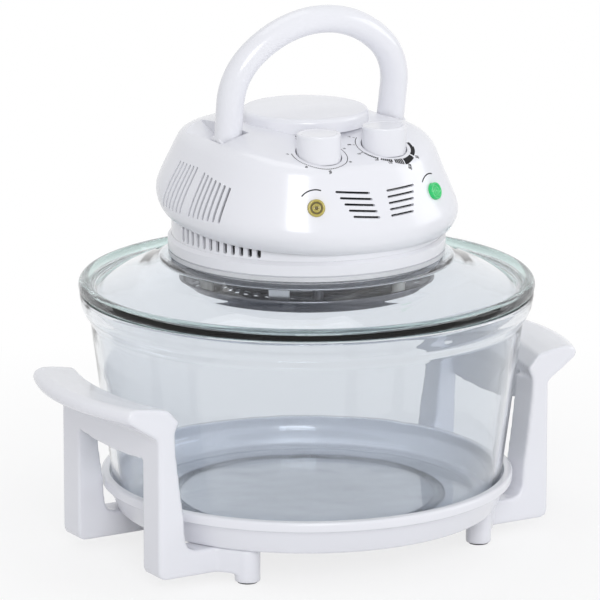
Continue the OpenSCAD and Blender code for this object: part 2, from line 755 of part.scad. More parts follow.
module reflector_plate() color(steel) difference() {
    spun([[0, plate_top_z - sheet], [drum_r, plate_top_z - sheet], [drum_r, plate_z], [plate_r, plate_z],
          [plate_r, plate_z + sheet], [drum_r + sheet, plate_z + sheet], [drum_r + sheet, plate_top_z],
          [0, plate_top_z]]);
    rod(shaft_r + 2, plate_z - through, plate_top_z + through);
    at_angles(plate_screw_ring, plate_screw_angles)
        rod(plate_screw_r + loose, plate_z - through, plate_top_z + through);
    translate([probe_x, probe_y, 0]) rod(capillary_r + 0.3, plate_z - through, plate_z + sheet + through);
}

module plate_screws() color(steel) at_angles(plate_screw_ring, plate_screw_angles) {
    rod(plate_head_r, plate_top_z - sheet - plate_head_h, plate_top_z - sheet);
    rod(plate_screw_r, plate_top_z - sheet - eps, head_z + plate_boss_h - 1.5);
}

module insulation_disc() color([0.85, 0.83, 0.78]) difference() {
    rod(insulation_r, plate_top_z, plate_top_z + flange_h);
    rod(shaft_r + 5, plate_top_z - through, plate_top_z + flange_h + through);
}

// ---- carry handle and safety switch ----

// middle of the handle's tube at the angle t from upright, on an arc of radius r about (x, z)
function arc_point(x, z, r, t) = [x + r * sin(t), z + r * cos(t), t];

// one ring of the handle's tube; station = [x, z, direction of the bend's outer side]
function tube_ring(s) = [for (i = [0:tube_sides - 1]) let (u = 360 * i / tube_sides)
    [s[0] + handle_r * cos(u) * sin(s[2]), pivot_y - handle_r * sin(u),
     s[1] + handle_r * cos(u) * cos(s[2])]];

module carry_handle() color(white) {
    end = 90 + leg_lean;
    bend = [for (i = [0:shoulder_steps]) crown_angle + (end - crown_angle) * i / shoulder_steps];
    stations = concat(
        [[-hub_x, pivot_z, -end]],
        [for (i = [shoulder_steps:-1:0]) arc_point(-shoulder_x, shoulder_z, shoulder_r, -bend[i])],
        [for (i = [1:crown_steps - 1])
            arc_point(0, crown_z, crown_r, crown_angle * (2 * i / crown_steps - 1))],
        [for (i = [0:shoulder_steps]) arc_point(shoulder_x, shoulder_z, shoulder_r, bend[i])],
        [[hub_x, pivot_z, end]]);
    difference() {
        union() {
            translate([0, pivot_y, pivot_z]) rotate([handle_lean, 0, 0]) translate([0, -pivot_y, -pivot_z])
                loft([for (s = stations) tube_ring(s)]);
            both_sides() translate([0, pivot_y, pivot_z]) x_rod(handle_r, hub_x - handle_r, hub_x + handle_r);
        }
        both_sides() translate([0, pivot_y, pivot_z])
            x_rod(pin_r + 0.03, hub_x - handle_r - through, hub_x + handle_r + through);
    }
}

module handle_pins() color(steel) translate([0, pivot_y, pivot_z]) {
    x_rod(pin_r, pin_x0 - 2, pin_x1 - 0.3);
    mirror([1, 0, 0]) x_rod(pin_r, cam_x - cam_t, pin_x1 - 0.3);
}

// radius of the cam in direction q, counted from straight down towards the rear
function cam_radius(q) = cam_r + cam_lift * min(max(q, 0), handle_turn) / handle_turn;

module switch_cam() color(dark_plastic) {
    translate([-cam_x, pivot_y, pivot_z]) rotate([90, 0, 90]) difference() {
        linear_extrude(cam_t) polygon([for (q = [-180:cam_step:179])
            [cam_radius(q) * sin(q), -cam_radius(q) * cos(q)]]);
        translate([0, 0, -through]) cylinder(r = pin_r + 0.02, h = cam_t + 2 * through);
    }
}

module safety_switch() color(dark_plastic) difference() {
    block(-well_x0 + well_wall, -well_x0 + well_wall + switch_w, pivot_y - switch_l / 2,
          pivot_y + switch_l / 2, switch_z - switch_h, switch_z);
    translate([-cam_x + cam_t / 2, pivot_y, 0]) rod(plunger_r + fit, switch_z - 11, switch_z + through);
}

module switch_plunger() color([0.75, 0.20, 0.15]) translate([-cam_x + cam_t / 2, pivot_y, 0]) {
    top = pivot_z - cam_r - cam_gap;
    rod(plunger_r, top - plunger_len, top - 0.6);
    rod(plunger_tip, top - 0.6 - eps, top);
}

// ---- timer, thermostat and knobs ----

module knob() {
    top = knob_z + knob_h;
    difference() {
        spun([[0, knob_z], [knob_r, knob_z], [knob_r, top - 1.6], [knob_r - 0.4, top - 0.5],
              [knob_r - 1.3, top], [0, top]]);
        difference() {
            rod(knob_r - knob_wall, knob_z - through, top - knob_wall);
            rod(knob_hub_r, knob_z + 1.5, top);
        }
        rod(knob_shaft_r + 0.03, knob_z - through, control_z + knob_shaft_out + 0.3);
    }
}

module knob_shaft() rod(knob_shaft_r, control_z - knob_shaft_in, control_z + knob_shaft_out);

module timer_body() color(dark_plastic) translate([-knob_x, -knob_y, 0]) difference() {
    block(-timer_w / 2, timer_w / 2, -timer_d / 2, timer_d / 2, control_z - timer_h, control_z);
    rod(knob_shaft_r + fit, control_z - knob_shaft_in - 0.5, control_z + through);
    for (s = [-1, 1]) translate([s * control_screw_x, 0, 0])
        rod(control_screw_r + fit, control_z - 8, control_z + through);
}

module timer_shaft() color(steel) translate([-knob_x, -knob_y, 0]) knob_shaft();

module timer_knob() color(white) translate([-knob_x, -knob_y, 0]) knob();

module timer_bell() color(brass) translate([-knob_x, -knob_y, control_z - timer_h]) {
    rod(1.5, -bell_stud, 0);
    translate([0, 0, -bell_stud]) spun([[0, 0], [2, 0], [bell_r - 2, -1.2], [bell_r, -bell_h],
        [bell_r - 1, -bell_h], [bell_r - 2.6, -2.2], [2, -1.2], [0, -1.2]]);
}

module thermostat_body() color(ceramic) translate([knob_x, -knob_y, 0]) difference() {
    rod(thermostat_r, control_z - thermostat_h, control_z);
    rod(knob_shaft_r + fit, control_z - knob_shaft_in - 0.5, control_z + through);
    for (s = [-1, 1]) translate([s * control_screw_x, 0, 0])
        rod(control_screw_r + fit, control_z - 8, control_z + through);
}

module thermostat_shaft() color(steel) translate([knob_x, -knob_y, 0]) knob_shaft();

module thermostat_knob() color(white) translate([knob_x, -knob_y, 0]) knob();

// a probe beside the guard, and its capillary tube up and across to the thermostat
module thermostat_probe() color(dark_steel) {
    bend_z = head_z + flange_h + capillary_h;
    translate([probe_x, probe_y, 0]) {
        rod(probe_r, guard_floor_z + sheet + 0.5, plate_z);
        rod(capillary_r, plate_z - eps, bend_z);
    }
    translate([0, probe_y, bend_z]) x_rod(capillary_r, probe_x, knob_x);
    for (x = [probe_x, knob_x]) translate([x, probe_y, bend_z]) sphere(r = capillary_r);
    translate([knob_x, probe_y, 0]) rod(capillary_r, bend_z, control_z - thermostat_h);
}

module control_screws() color(steel) both_sides() translate([knob_x, -knob_y, 0])
    for (s = [-1, 1]) translate([s * control_screw_x, 0, 0]) {
        rod(control_screw_r, control_z - 7, recess_z + eps);
        rod(2.5, recess_z, recess_z + 1.4);
    }

module lens() translate([0, 0, -lens_body]) difference() {
    union() {
        cylinder(r = lens_r, h = lens_body + lens_proud - 1.2);
        translate([0, 0, lens_body + lens_proud - 1.2 - eps])
            cylinder(r1 = lens_r, r2 = lens_r - 2.4, h = 1.2);
    }
    translate([0, 0, -through]) cylinder(r = bulb_glass_r + loose, h = 4 + through);
}

module amber_lens() color([0.80, 0.62, 0.12]) at_lens(-1) lens();

module green_lens() color([0.05, 0.72, 0.25]) at_lens(1) lens();

module pilot_bulbs() color([0.95, 0.75, 0.55]) for (s = [-1, 1])
    at_lens(s) translate([0, 0, -lens_body + 3.8 - bulb_glass_len])
        cylinder(r = bulb_glass_r, h = bulb_glass_len);

// ---- motor and fans ----

module motor_posts() color(steel) four(motor_post_xy, motor_post_xy)
    rod(motor_post_r, head_z + flange_h, motor_z);

module motor_bracket() color(steel) difference() {
    union() {
        rod(core_w / 2 - 1, motor_z, motor_z + bracket_t);
        for (a = [45, 135]) rotate([0, 0, a]) block(-motor_post_xy * sqrt(2) - 6,
            motor_post_xy * sqrt(2) + 6, -7, 7, motor_z, motor_z + bracket_t);
        rod(hub_r, motor_z - 3, motor_z + eps);
    }
    rod(bush_r, motor_z - 3 - through, motor_z + bracket_t + through);
    for (s = [-1, 1]) translate([s * motor_screw_x, 0, 0])
        rod(motor_screw_r + loose, motor_z - through, motor_z + bracket_t + through);
}

module motor_core() color([0.35, 0.35, 0.37]) difference() {
    union() {
        block(-core_w / 2, core_w / 2, -core_d / 2, core_d / 2, core_z, core_z + core_h);
        block(-leg_w / 2, leg_w / 2, 0, coil_y + coil_t + 2, core_z, core_z + core_h);
    }
    rod(bore_r, core_z - through, core_z + core_h + through);
    for (s = [-1, 1]) translate([s * motor_screw_x, 0, 0])
        rod(motor_screw_r + loose, core_z - through, core_z + core_h + through);
}

module motor_coil() color([0.62, 0.33, 0.18]) difference() {
    block(-leg_w / 2 - coil_build, leg_w / 2 + coil_build, coil_y, coil_y + coil_t,
          core_z - coil_build + 1, core_z + core_h + coil_build);
    block(-leg_w / 2 - 0.1, leg_w / 2 + 0.1, coil_y - through, coil_y + coil_t + through,
          core_z - 0.1, core_z + core_h + 0.1);
}

module motor_cap() color(steel) {
    z = core_z + core_h;
    difference() {
        union() {
            block(-core_w / 2, core_w / 2, -8, 8, z, z + bracket_t);
            rod(hub_r, z, z + bush_h);
        }
        rod(bush_r, z - through, z + bush_h + through);
        for (s = [-1, 1]) translate([s * motor_screw_x, 0, 0])
            rod(motor_screw_r + loose, z - through, z + bracket_t + through);
    }
}

module motor_bushes() color(brass) for (z = [motor_z - 3, core_z + core_h]) difference() {
    rod(bush_r, z, z + bush_h);
    rod(shaft_r + fit, z - through, z + bush_h + through);
}

module motor_screws() color(steel) {
    top = core_z + core_h + bracket_t;
    for (s = [-1, 1]) translate([s * motor_screw_x, 0, 0]) {
        rod(motor_screw_r, motor_z - 2, top + eps);
        rod(3.4, top, top + 2.4);
    }
}

module motor_rotor() color(steel) difference() {
    rod(bore_r - rotor_gap, core_z + 1, core_z + core_h - 1);
    rod(shaft_r + 0.02, core_z, core_z + core_h);
}

module fan_shaft() color(steel) rod(shaft_r, hot_fan_z - nut_h - 2, core_z + core_h + bush_h + 3);

// a hub with pitched blades that reach out to radius r
module fan(r, z, h) difference() {
    union() {
        rod(fan_hub_r, z, z + h);
        rod(r * 0.55, z, z + 1.2);
        at_angles(0, [for (i = [0:blades - 1]) 360 * i / blades])
            translate([fan_hub_r - 1.5, 0, z + h / 2]) rotate([blade_twist, 0, 0])
                block(0, r - fan_hub_r, -blade_t / 2, blade_t / 2, -h / 2 + 0.2, h / 2);
    }
    rod(shaft_r + 0.02, z - through, z + h + through);
}

module cooling_fan() color(white) fan(cooling_fan_d / 2, cooling_fan_z, cooling_fan_h);

module hot_air_fan() color(steel) fan(hot_fan_d / 2, hot_fan_z, hot_fan_h);

module fan_nut() color(steel) difference() {
    translate([0, 0, hot_fan_z - nut_h]) cylinder(r = nut_r, h = nut_h, $fn = 6);
    rod(shaft_r + 0.02, hot_fan_z - nut_h - through, hot_fan_z + through);
}

// ---- ring lamp ----

// a tube bent round the lamp's circle, broken for the angle a each side of the sockets' middle
module lamp_arc(a, r_out, r_in) {
    translate([0, 0, lamp_z]) rotate([0, 0, lamp_angle + a])
        rotate_extrude(angle = 360 - 2 * a) translate([lamp_r, 0]) difference() {
            circle(r = r_out);
            if (r_in > 0) circle(r = r_in);
        }
}

module quartz_tube() color([0.35, 0.33, 0.32]) lamp_arc(socket_turn, lamp_d / 2, lamp_d / 2 - quartz_wall);

module lamp_filament() color([0.50, 0.45, 0.40]) lamp_arc(socket_turn - 2.5, filament_r, 0);

module lamp_sockets() color(ceramic) for (s = [-1, 1])
    rotate([0, 0, lamp_angle + s * socket_turn]) translate([lamp_r, 0, 0]) difference() {
        block(-socket_w / 2, socket_w / 2, -socket_t / 2, socket_t / 2,
              lamp_z - socket_w / 2, plate_top_z - sheet);
        translate([0, 0, lamp_z]) rotate([-90 * s, 0, 0]) {
            translate([0, 0, -0.3]) cylinder(r = lamp_d / 2 + 0.3, h = socket_t);
            translate([0, 0, -socket_t]) cylinder(r = filament_r + 0.3, h = socket_t);
        }
    }

// a strap from the plate round the outside of the tube and under it
module lamp_clips() color(dark_steel) at_angles(lamp_r, clip_angles) {
    out = lamp_d / 2 + 0.3;
    block(out, out + clip_t, -clip_w / 2, clip_w / 2, lamp_z - out, plate_top_z - sheet);
    block(-out / 2, out + clip_t, -clip_w / 2, clip_w / 2, lamp_z - out - clip_t, lamp_z - out);
}

// ---- guard ----

module guard_dish() color(steel) difference() {
    floor_top = guard_floor_z + sheet;
    bead_c = guard_r - guard_bead_r;
    union() {
        spun([[0, guard_floor_z], [guard_r - 6.5, guard_floor_z], [guard_r - 4, guard_floor_z + 1],
              [guard_r - 2.7, guard_floor_z + 3], [guard_r - 1.6, guard_z - 2],
              [guard_r - 2.8, guard_z - 1.5], [guard_r - 3.9, guard_floor_z + 3.4],
              [guard_r - 4.8, guard_floor_z + 2], [guard_r - 6.9, floor_top], [0, floor_top]]);
        translate([0, 0, guard_z - guard_bead_r]) rotate_extrude()
            translate([bead_c, 0]) circle(r = guard_bead_r);
    }
    for (s = guard_slots) at_angles(s[0], [for (i = [0:s[1] - 1]) 360 * (i + 0.5) / s[1]])
        rotate([0, 0, guard_slant]) block(-s[2] / 2, s[2] / 2, -s[3] / 2, s[3] / 2,
            guard_floor_z - through, floor_top + through);
}

module guard_strap() color(steel) rotate([0, 0, strap_angle])
    block(strap_ring - sheet / 2, strap_ring + sheet / 2, -strap_w / 2, strap_w / 2,
          guard_floor_z + sheet, plate_z);

module guard_posts() color(ceramic)
    at_angles(guard_post_ring, guard_post_angles) rod(guard_post_r, guard_floor_z + sheet, plate_z);

// ---- inlet ----

module cable_bushing() color(dark_plastic) {
    translate([0, tier_r, bushing_z]) rotate([-90, 0, 0]) difference() {
        union() {
            translate([0, 0, -tier_wall - 4]) cylinder(r = bushing_r, h = tier_wall + 4 + eps);
            cylinder(r = bushing_flange_r, h = bushing_flange_t);
            cylinder(r = bushing_r, h = bushing_len - tier_wall - 4);
        }
        translate([0, 0, -tier_wall - 4 - through])
            cylinder(d = bushing_bore, h = bushing_len + 2 * through);
    }
}

module terminal_block() color([0.88, 0.88, 0.84])
    block(-block_w / 2, block_w / 2, block_y - block_d / 2, block_y + block_d / 2,
          head_z + flange_h, head_z + flange_h + block_h);

stand_tray();
bracket_left();
bracket_right();
foot_screws();
foot_pads();
glass_bowl();
glass_lid();
upper_gasket();
lower_gasket();
base_ring();
upper_housing();
housing_screws();
reflector_plate();
plate_screws();
insulation_disc();
carry_handle();
handle_pins();
switch_cam();
safety_switch();
switch_plunger();
timer_body();
timer_shaft();
timer_knob();
timer_bell();
thermostat_body();
thermostat_shaft();
thermostat_knob();
thermostat_probe();
control_screws();
amber_lens();
green_lens();
pilot_bulbs();
motor_posts();
motor_bracket();
motor_core();
motor_coil();
motor_cap();
motor_bushes();
motor_screws();
motor_rotor();
fan_shaft();
cooling_fan();
hot_air_fan();
fan_nut();
quartz_tube();
lamp_filament();
lamp_sockets();
lamp_clips();
guard_strap();
guard_dish();
guard_posts();
cable_bushing();
terminal_block();
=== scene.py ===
"""Studio scene of a tabletop halogen oven, laid out as an add-on.

Each operator makes one piece, or a group of like pieces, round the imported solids, and one
makes the stage. Sizes are in metres, in the frame of the solids: +Z up, the origin on the
table under the bowl's axis, the controls towards -Y.
"""

import json
from math import atan, cos, degrees, pi, radians, sin, tan

import bmesh
import bpy
from bpy.props import FloatProperty, FloatVectorProperty, IntProperty, PointerProperty
from mathutils import Matrix, Vector
from mathutils.bvhtree import BVHTree


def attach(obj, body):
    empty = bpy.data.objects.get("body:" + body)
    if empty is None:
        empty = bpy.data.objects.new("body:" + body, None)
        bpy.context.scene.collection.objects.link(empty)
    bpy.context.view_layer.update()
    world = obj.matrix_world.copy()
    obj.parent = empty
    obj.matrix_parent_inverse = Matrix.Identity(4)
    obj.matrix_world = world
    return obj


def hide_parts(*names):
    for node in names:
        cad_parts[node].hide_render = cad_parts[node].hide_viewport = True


bl_info = {
    "name": "Halogen Oven",
    "version": (1, 0, 0),
    "blender": (4, 5, 0),
    "location": "View3D > Sidebar > Oven",
    "description": "Makes the looks of a tabletop halogen oven and its studio",
    "category": "Object",
}

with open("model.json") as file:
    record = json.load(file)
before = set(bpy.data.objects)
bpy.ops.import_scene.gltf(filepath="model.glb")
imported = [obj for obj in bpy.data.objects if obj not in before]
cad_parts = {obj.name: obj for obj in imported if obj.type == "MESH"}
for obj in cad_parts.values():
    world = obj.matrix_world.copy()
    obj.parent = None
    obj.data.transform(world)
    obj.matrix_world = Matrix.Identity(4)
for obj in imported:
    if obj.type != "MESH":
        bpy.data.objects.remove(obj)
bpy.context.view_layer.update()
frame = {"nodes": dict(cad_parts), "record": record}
MM = 0.001
NEAR = 0.001 * MM  # points closer than this are one
UP = Vector((0, 0, 1))


# ---- settings ----


def length(label, about, millimetres):
    """A length that a user can change."""
    return FloatProperty(name=label, description=about, default=millimetres * MM, unit="LENGTH", precision=5)


def angle(label, about, in_degrees):
    """An angle that a user can change."""
    return FloatProperty(name=label, description=about, default=radians(in_degrees), subtype="ANGLE")


def colour(label, about, value):
    """A colour that a user can change."""
    return FloatVectorProperty(name=label, description=about, default=value, subtype="COLOR", min=0, max=1)


class OvenStand(bpy.types.PropertyGroup):
    """Sizes of the tray and the brackets."""

    tray_radius: length("Tray radius", "Radius over the tray's rim", 149.8)
    tray_base: length("Tray base radius", "Radius of the tray's underside", 137.4)
    tray_bottom: length("Tray bottom", "Height of the tray's underside", 25.6)
    tray_top: length("Tray top", "Height of the tray's rim", 51.9)
    floor: length("Tray floor", "Thickness of the tray's floor", 3.4)
    rounding: length("Moulded rounding", "Rounding of the brackets' edges", 1.3)


class OvenGlass(bpy.types.PropertyGroup):
    """Sizes of the bowl and the lid."""

    bowl_radius: length("Bowl radius", "Radius over the bowl's rim", 164.3)
    bowl_foot: length("Bowl foot", "Height of the bowl's underside", 29.25)
    bowl_rim: length("Bowl rim", "Height of the bowl's rim", 185.75)
    lid_seat: length("Lid seat", "Height of the lid's seat", 186)
    wall: length("Glass thickness", "Thickness of the bowl's wall", 5)
    lid_radius: length("Lid radius", "Radius over the lid's bead", 165)
    collar_radius: length("Collar radius", "Radius of the lid's flat collar", 101.5)
    hole_radius: length("Lid hole", "Radius of the hole under the head", 86)
    lid_rise: length("Lid rise", "Height of the collar above the lid's seat", 28)
    lid_wall: length("Lid thickness", "Thickness of the lid's glass", 4.8)
    ribs: IntProperty(name="Ribs", description="Fine ribs in the ring pressed into the floor", default=240)
    ring_inner: length("Ring inner radius", "Inner radius of the ribbed ring", 93)
    ring_outer: length("Ring outer radius", "Outer radius of the ribbed ring", 101)


class OvenHead(bpy.types.PropertyGroup):
    """Sizes of the heating head."""

    base: length("Head base", "Height of the head's underside", 217)
    half_width: length("Half width", "Half width of the housing at its widest", 102.7)
    squareness: FloatProperty(name="Squareness", description="Power of the plan; 2 is round", default=2.6)
    tilt: length("Tilt", "Rise of the housing's lower edge from the middle to the rear", 6.5)
    roll: length("Roll", "Fall of the housing's lower edge from the middle to the right", 2.2)
    shell: length("Shell", "Thickness of the housing's wall", 2.5)
    panel_height: length("Panel height", "Height of the panel at its front edge", 294)
    panel_front: length("Panel front", "Where the panel's front edge lies", -78)
    panel_slope: FloatProperty(name="Panel slope", description="Rise of the panel per length", default=0.306)
    panel_blend: length("Panel blend", "Width of the soft edge round the panel", 5)
    tier_radius: length("Tier radius", "Radius of the slotted tier", 97.6)
    deck_radius: length("Deck radius", "Radius of the raised deck", 46)
    deck_top: length("Deck top", "Height of the raised deck", 320)
    deck_back: length("Deck offset", "Distance of the deck behind the axis", 3)


class OvenHandle(bpy.types.PropertyGroup):
    """Sizes of the carry handle."""

    tube: length("Tube radius", "Radius of the handle's tube", 9.95)
    pivot_height: length("Pivot height", "Height of the handle's pivot", 297)
    pivot_back: length("Pivot offset", "Distance of the pivot behind the axis", -3)
    crown: length("Crown radius", "Radius of the handle's crown", 77)
    crown_top: length("Crown height", "Height of the crown's line above the pivot", 90)
    shoulder: length("Shoulder radius", "Radius of the handle's shoulders", 47)
    crown_angle: angle("Crown angle", "Angle of each half of the crown", 44.5)
    lean: angle("Leg lean", "Angle by which the legs lean towards each other", 1)
    rake: angle("Rake", "Angle by which the raised handle leans to the front", 9)
    fold: angle("Fold", "Angle from upright to which the handle folds at the rear", 70)


class OvenControls(bpy.types.PropertyGroup):
    """Sizes of the knobs, their dials and the signal lamps."""

    knob_radius: length("Knob radius", "Radius of each knob", 15.75)
    knob_height: length("Knob height", "Height of each knob", 20.4)
    knob_foot: length("Knob foot", "Height of the knobs' lower edge", 294.02)
    spread: length("Knob spread", "Distance of each knob from the middle", 27)
    forward: length("Knob distance", "Distance of each knob in front of the axis", 62)
    dial_radius: length("Dial radius", "Radius of the printed arcs", 20.4)
    figure: length("Figure height", "Height of the printed figures", 2.1)
    lamp_radius: length("Lamp radius", "Radius of each signal lamp", 6.3)
    lamp_spread: length("Lamp spread", "Half the distance between the lamps", 50.2)
    lamp_shift: length("Lamp shift", "Distance of the lamps' middle to the right of the axis", 4.7)
    lamp_height: length("Lamp height", "Height of the signal lamps", 267.5)
    lamp_tilt: angle("Lamp tilt", "Angle by which the signal lamps look up", 17)


class OvenFinish(bpy.types.PropertyGroup):
    """Colours of the finishes."""

    plastic: colour("White plastic", "Gloss white moulding", (0.84, 0.845, 0.89))
    glass: colour("Glass", "Tint of the clear glass", (0.82, 0.845, 0.875))
    rim: colour("Glass rim", "Tint of the lid's thick rim", (0.50, 0.74, 0.69))
    amber: colour("Amber lamp", "Left signal lamp", (0.46, 0.38, 0.07))
    green: colour("Green lamp", "Right signal lamp", (0.0, 0.50, 0.12))
    ink: colour("Ink", "Print on the control panel", (0.008, 0.008, 0.01))


class OvenStudio(bpy.types.PropertyGroup):
    """Camera and light."""

    azimuth: angle("Azimuth", "Camera's angle round the object", -30.73)
    elevation: angle("Elevation", "Camera's angle above the table", 13.51)
    distance: length("Distance", "Camera's distance from its aim", 4045)
    aim: length("Aim height", "Height that the camera and the lights aim at", 200)
    right: FloatProperty(name="Shift right", description="Shift of the picture in widths", default=-6.7 / 600)
    up: FloatProperty(name="Shift up", description="Shift of the picture in widths", default=-31.6 / 600)
    lens: FloatProperty(name="Lens", description="Focal length", default=336.2, unit="CAMERA")
    key: FloatProperty(name="Key light", description="Power of the key light", default=29, unit="POWER")
    fill: FloatProperty(name="Fill light", description="Power of the fill light", default=12, unit="POWER")
    top: FloatProperty(name="Top light", description="Power of the top light", default=9, unit="POWER")
    world: FloatProperty(name="Room light", description="Strength of the room's light", default=0.55)


GROUPS = {
    "oven_stand": OvenStand,
    "oven_glass": OvenGlass,
    "oven_head": OvenHead,
    "oven_handle": OvenHandle,
    "oven_controls": OvenControls,
    "oven_finish": OvenFinish,
    "oven_studio": OvenStudio,
}


# ---- shader maths ----


class Value:
    """A socket of a shader node that maths can be written with."""

    def __init__(self, shader, socket):
        self.shader = shader
        self.socket = socket

    def maths(self, operation, *others):
        """A Math node that runs the operation on this value and the others."""
        return self.shader.node("ShaderNodeMath", {"operation": operation}, dict(enumerate((self, *others))))

    def __add__(self, other):
        return self.maths("ADD", other)

    def __mul__(self, other):
        return self.maths("MULTIPLY", other)

    def __pow__(self, other):
        return self.maths("POWER", other)

    def __gt__(self, other):
        return self.maths("GREATER_THAN", other)

    def __lt__(self, other):
        return self.maths("LESS_THAN", other)

    __radd__ = __add__
    __rmul__ = __mul__


class Shader:
    """The nodes of one procedural material, or of the world."""

    def __init__(self, owner):
        self.owner = owner
        owner.use_nodes = True
        self.tree = owner.node_tree
        self.tree.nodes.clear()

    def node(self, kind, settings, inputs, output=0):
        """Adds a node: its settings first, then the values or links of its sockets."""
        made = self.tree.nodes.new(kind)
        for key, setting in settings.items():
            setattr(made, key, setting)
        for key, value in inputs.items():
            if isinstance(value, Value):
                self.tree.links.new(value.socket, made.inputs[key])
            else:
                made.inputs[key].default_value = value
        return Value(self, made.outputs[output]) if made.outputs else None

    def place(self):
        """Object coordinates, in metres."""
        return self.node("ShaderNodeTexCoord", {}, {}, "Object")

    def axes(self):
        """The three object coordinates apart."""
        point = self.place()
        return [self.node("ShaderNodeSeparateXYZ", {}, {0: point}, axis) for axis in "XYZ"]

    def noise(self, scale, detail):
        """Smooth noise from 0 to 1; scale counts per metre."""
        return self.node("ShaderNodeTexNoise", {}, {"Vector": self.place(), "Scale": scale, "Detail": detail})

    def mix(self, factor, low, high):
        """A colour between two colours."""
        inputs = {0: factor, 6: opaque(low), 7: opaque(high)}
        return self.node("ShaderNodeMix", {"data_type": "RGBA"}, inputs, 2)

    def uneven(self, factor, tint, low, high):
        """A colour that is darker or lighter by a share, from low to high."""
        return self.mix(factor, shade(tint, low), shade(tint, high))

    def bump(self, height, strength, distance):
        """A normal from a height."""
        return self.node("ShaderNodeBump", {}, {"Height": height, "Strength": strength, "Distance": distance})

    def ray(self, kind):
        """1 on rays of a kind, and 0 on all others."""
        return self.node("ShaderNodeLightPath", {}, {}, f"Is {kind} Ray")

    def backdrop(self):
        """1 on the rays that the camera, gloss and glass look along, and 0 on those that light the object."""
        seen = self.ray("Camera").maths("MAXIMUM", self.ray("Glossy"))
        return seen.maths("MAXIMUM", self.ray("Transmission"))

    def blend(self, share, first, second, output="ShaderNodeOutputMaterial"):
        """Ends the nodes in a mix of two shaders; share counts for the second."""
        both = self.node("ShaderNodeMixShader", {}, {0: share, 1: first, 2: second})
        self.node(output, {}, {"Surface": both})
        return self.owner

    def surface(self, **sockets):
        """Ends the material in a Principled shader with these sockets."""
        named = {key.replace("_", " ").title(): value for key, value in sockets.items()}
        shader = self.node("ShaderNodeBsdfPrincipled", {}, named)
        self.node("ShaderNodeOutputMaterial", {}, {"Surface": shader})
        return self.owner


def material(name):
    """The nodes of a new material."""
    return Shader(bpy.data.materials.new(name))


def opaque(tint):
    """A colour with full alpha."""
    return (*tint, 1)


def shade(tint, share):
    """A colour made darker or lighter by a share."""
    return tuple(min(1.0, channel * share) for channel in tint)


# ---- finishes ----


def white_plastic(finish):
    """Gloss white moulding with faint sink marks and a fine skin."""
    shader = material("white_plastic")
    broad = shader.noise(14, 2)
    skin = shader.noise(900, 1)
    return shader.surface(
        base_color=shader.uneven(broad, finish.plastic, 0.985, 1.015),
        roughness=0.2 + skin * 0.06,
        coat_weight=0.25,
        coat_roughness=0.06,
        normal=shader.bump(broad * 0.6 + skin * 0.02, 0.12, 0.0006),
    )


def glass_surface(shader, tint, normal, open_share=0.0):
    """Ends a material in clear glass; the lamps, and an open share of the view, go straight through."""
    named = {"Base Color": tint, "Roughness": 0.0, "IOR": 1.47, "Transmission Weight": 1.0, "Normal": normal}
    glass = shader.node("ShaderNodeBsdfPrincipled", {}, named)
    through = shader.node("ShaderNodeBsdfTransparent", {}, {"Color": (0.90, 0.91, 0.92, 1)})
    return shader.blend(shader.ray("Shadow").maths("MAXIMUM", open_share), glass, through)


def clear_glass(finish):
    """Pressed clear glass, a little wavy, greener in its thick rim."""
    shader = material("clear_glass")
    x, y, z = shader.axes()
    radius = (x * x + y * y) ** 0.5
    thin, full = 153.5 * MM, 158 * MM
    thick = shader.node("ShaderNodeMapRange", {}, {"Value": radius, "From Min": thin, "From Max": full})
    tint = shader.mix(thick, finish.glass, finish.rim)
    return glass_surface(shader, tint, shader.bump(shader.noise(28, 1), 0.08, 0.001), thick * 0.4)


def ribbed_glass(finish, glass):
    """Clear glass with a ring of fine ribs pressed into its floor."""
    shader = material("ribbed_glass")
    x, y, z = shader.axes()
    radius = (x * x + y * y) ** 0.5
    ring = (radius > glass.ring_inner) * (radius < glass.ring_outer) * (z < glass.bowl_foot + 5.25 * MM)
    rib = (y.maths("ARCTAN2", x) * glass.ribs).maths("SINE")
    height = ring * (0.5 + rib * 0.5) * 0.5 + shader.noise(28, 1) * 0.3
    return glass_surface(shader, opaque(finish.glass), shader.bump(height, 0.6, 0.0015))


def brushed_steel(name, tint, roughness, grain=700):
    """Sheet steel with a faint grain."""
    shader = material(name)
    streak = shader.noise(grain, 3)
    cloud = shader.noise(30, 2)
    return shader.surface(
        base_color=shader.uneven(cloud, tint, 0.92, 1.04),
        metallic=1.0,
        roughness=roughness + streak * 0.12,
        normal=shader.bump(streak, 0.05, 0.0002),
    )


def plain(name, tint, roughness, grain=400, rough_bump=0.1, metallic=0.0):
    """A cast, moulded or painted finish with a fine grain and uneven tone."""
    shader = material(name)
    fine = shader.noise(grain, 3)
    cloud = shader.noise(40, 2)
    return shader.surface(
        base_color=shader.uneven(cloud, tint, 0.88, 1.1),
        metallic=metallic,
        roughness=roughness + fine * 0.1,
        normal=shader.bump(fine, rough_bump, 0.0003),
    )


def wound_wire(name, tint):
    """Enamelled wire wound round a core."""
    shader = material(name)
    x, y, z = shader.axes()
    turns = (y * 9000).maths("SINE")
    return shader.surface(
        base_color=shader.uneven(turns * 0.5 + 0.5, tint, 0.6, 1),
        roughness=0.3,
        normal=shader.bump(turns, 0.4, 0.0003),
    )


def signal_lens(name, tint, glow):
    """Coloured clear plastic over a small bulb."""
    shader = material(name)
    return shader.surface(
        base_color=shader.uneven(shader.noise(500, 2), tint, 0.85, 1.1),
        roughness=0.12,
        coat_weight=0.6,
        emission_color=opaque(tint),
        emission_strength=glow,
    )


